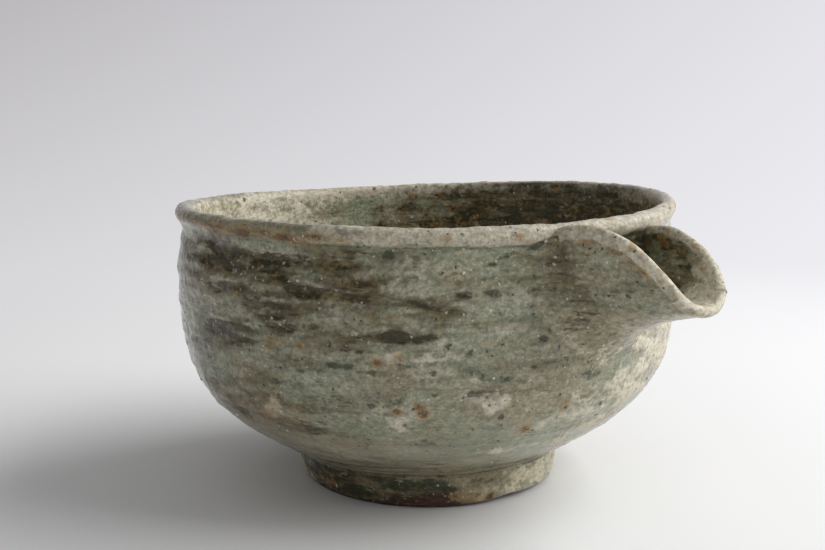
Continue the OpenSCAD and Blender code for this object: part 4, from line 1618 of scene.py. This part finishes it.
def add_world(scene, stage):
    """Even light from all round, and a pale background that brightens towards the window and the floor."""
    world = bpy.data.worlds.new("studio")
    world.use_nodes = True
    sky = Wiring(world.node_tree)
    light = sky.tree.nodes["Background"]
    light.inputs["Color"].default_value = (1, 1, 1, 1)
    way = sky.add("ShaderNodeTexCoord").outputs["Generated"]
    right = (math.cos(CAMERA_HEADING), math.sin(CAMERA_HEADING), 0)
    ahead = (-math.sin(CAMERA_HEADING), math.cos(CAMERA_HEADING), 0)
    sideways = sky.vectors("DOT_PRODUCT", way, right).outputs["Value"]
    onward = sky.vectors("DOT_PRODUCT", way, ahead).outputs["Value"]
    upwards = sky.add("ShaderNodeSeparateXYZ", {"Vector": way}).outputs["Z"]
    side = sky.between(sideways, *SIDE_SPAN, kind="LINEAR")
    lower = sky.between(upwards, *DOWN_SPAN, kind="LINEAR")
    behind = sky.between(onward, *MIRROR_SPAN, kind="LINEAR")
    above = sky.mix(side, stage.back_left_high, stage.back_right_high)
    below = sky.mix(side, stage.back_left_low, stage.back_right_low)
    paper = sky.add("ShaderNodeBackground", {"Color": sky.mix(lower, above, below)})
    path = sky.add("ShaderNodeLightPath").outputs
    glossy = path["Is Glossy Ray"]
    seen = sky.maths("MAXIMUM", path["Is Camera Ray"], path["Is Transmission Ray"])
    seen = sky.maths("MAXIMUM", seen, sky.times(glossy, behind))
    dimmed = sky.times(glossy, (1 - stage.room) * stage.fill)
    sky.put(sky.maths("SUBTRACT", stage.fill, dimmed), light.inputs["Strength"])
    sky.choose(seen, light.outputs["Background"], paper.outputs["Background"], "World Output")
    scene.world = world


def add_camera(scene, stage):
    """The camera at the photograph's place."""
    lens = bpy.data.cameras.new("camera")
    lens.lens = CAMERA_LENS
    lens.sensor_width = CAMERA_SENSOR
    lens.clip_start, lens.clip_end = CAMERA_CLIP
    camera = bpy.data.objects.new("camera", lens)
    camera.location = (
        stage.camera_distance * math.cos(CAMERA_AZIMUTH),
        stage.camera_distance * math.sin(CAMERA_AZIMUTH),
        stage.camera_height,
    )
    camera.rotation_euler = (math.pi / 2 - CAMERA_DIP, 0, CAMERA_HEADING)
    scene.collection.objects.link(camera)
    scene.camera = camera


class POURER_OT_stage(bpy.types.Operator):
    """Add the floor, the soft light and the camera"""

    bl_idname = "pourer.stage"
    bl_label = "Stage"

    def execute(self, context):
        scene = context.scene
        scene.view_settings.view_transform = "Standard"
        for add in (add_floor, add_window, add_world, add_camera):
            add(scene, scene.pourer_stage)
        return {"FINISHED"}


class POURER_PT_panel(bpy.types.Panel):
    """Lists the pieces in the order in which they are made"""

    bl_idname = "POURER_PT_panel"
    bl_label = "Sake pourer"
    bl_space_type = "VIEW_3D"
    bl_region_type = "UI"
    bl_category = "Pourer"

    def draw(self, context):
        for piece in PIECES:
            self.layout.operator(piece.bl_idname)
        for name, group in GROUPS.items():
            for value in group.__annotations__:
                self.layout.prop(getattr(context.scene, name), value)


PIECES = (
    POURER_OT_bowl,
    POURER_OT_foot,
    POURER_OT_foot_slip,
    POURER_OT_spout,
    POURER_OT_spout_slip,
    POURER_OT_grit,
    POURER_OT_stage,
)
GROUPS = {"pourer_sizes": PourerSizes, "pourer_glaze": PourerGlaze, "pourer_stage": PourerStage}


def register():
    """Make the groups, the operators and the panel known."""
    for kind in (*GROUPS.values(), *PIECES, POURER_PT_panel):
        bpy.utils.register_class(kind)
    for name, group in GROUPS.items():
        setattr(bpy.types.Scene, name, bpy.props.PointerProperty(type=group))


def unregister():
    """Take them away again."""
    for name in GROUPS:
        delattr(bpy.types.Scene, name)
    for kind in (POURER_PT_panel, *reversed(PIECES), *GROUPS.values()):
        bpy.utils.unregister_class(kind)


def main():
    register()
    bpy.ops.pourer.bowl()
    bpy.ops.pourer.foot()
    bpy.ops.pourer.foot_slip()
    bpy.ops.pourer.spout()
    bpy.ops.pourer.spout_slip()
    bpy.ops.pourer.grit()
    bpy.ops.pourer.stage()


if __name__ == "__main__":
    main()
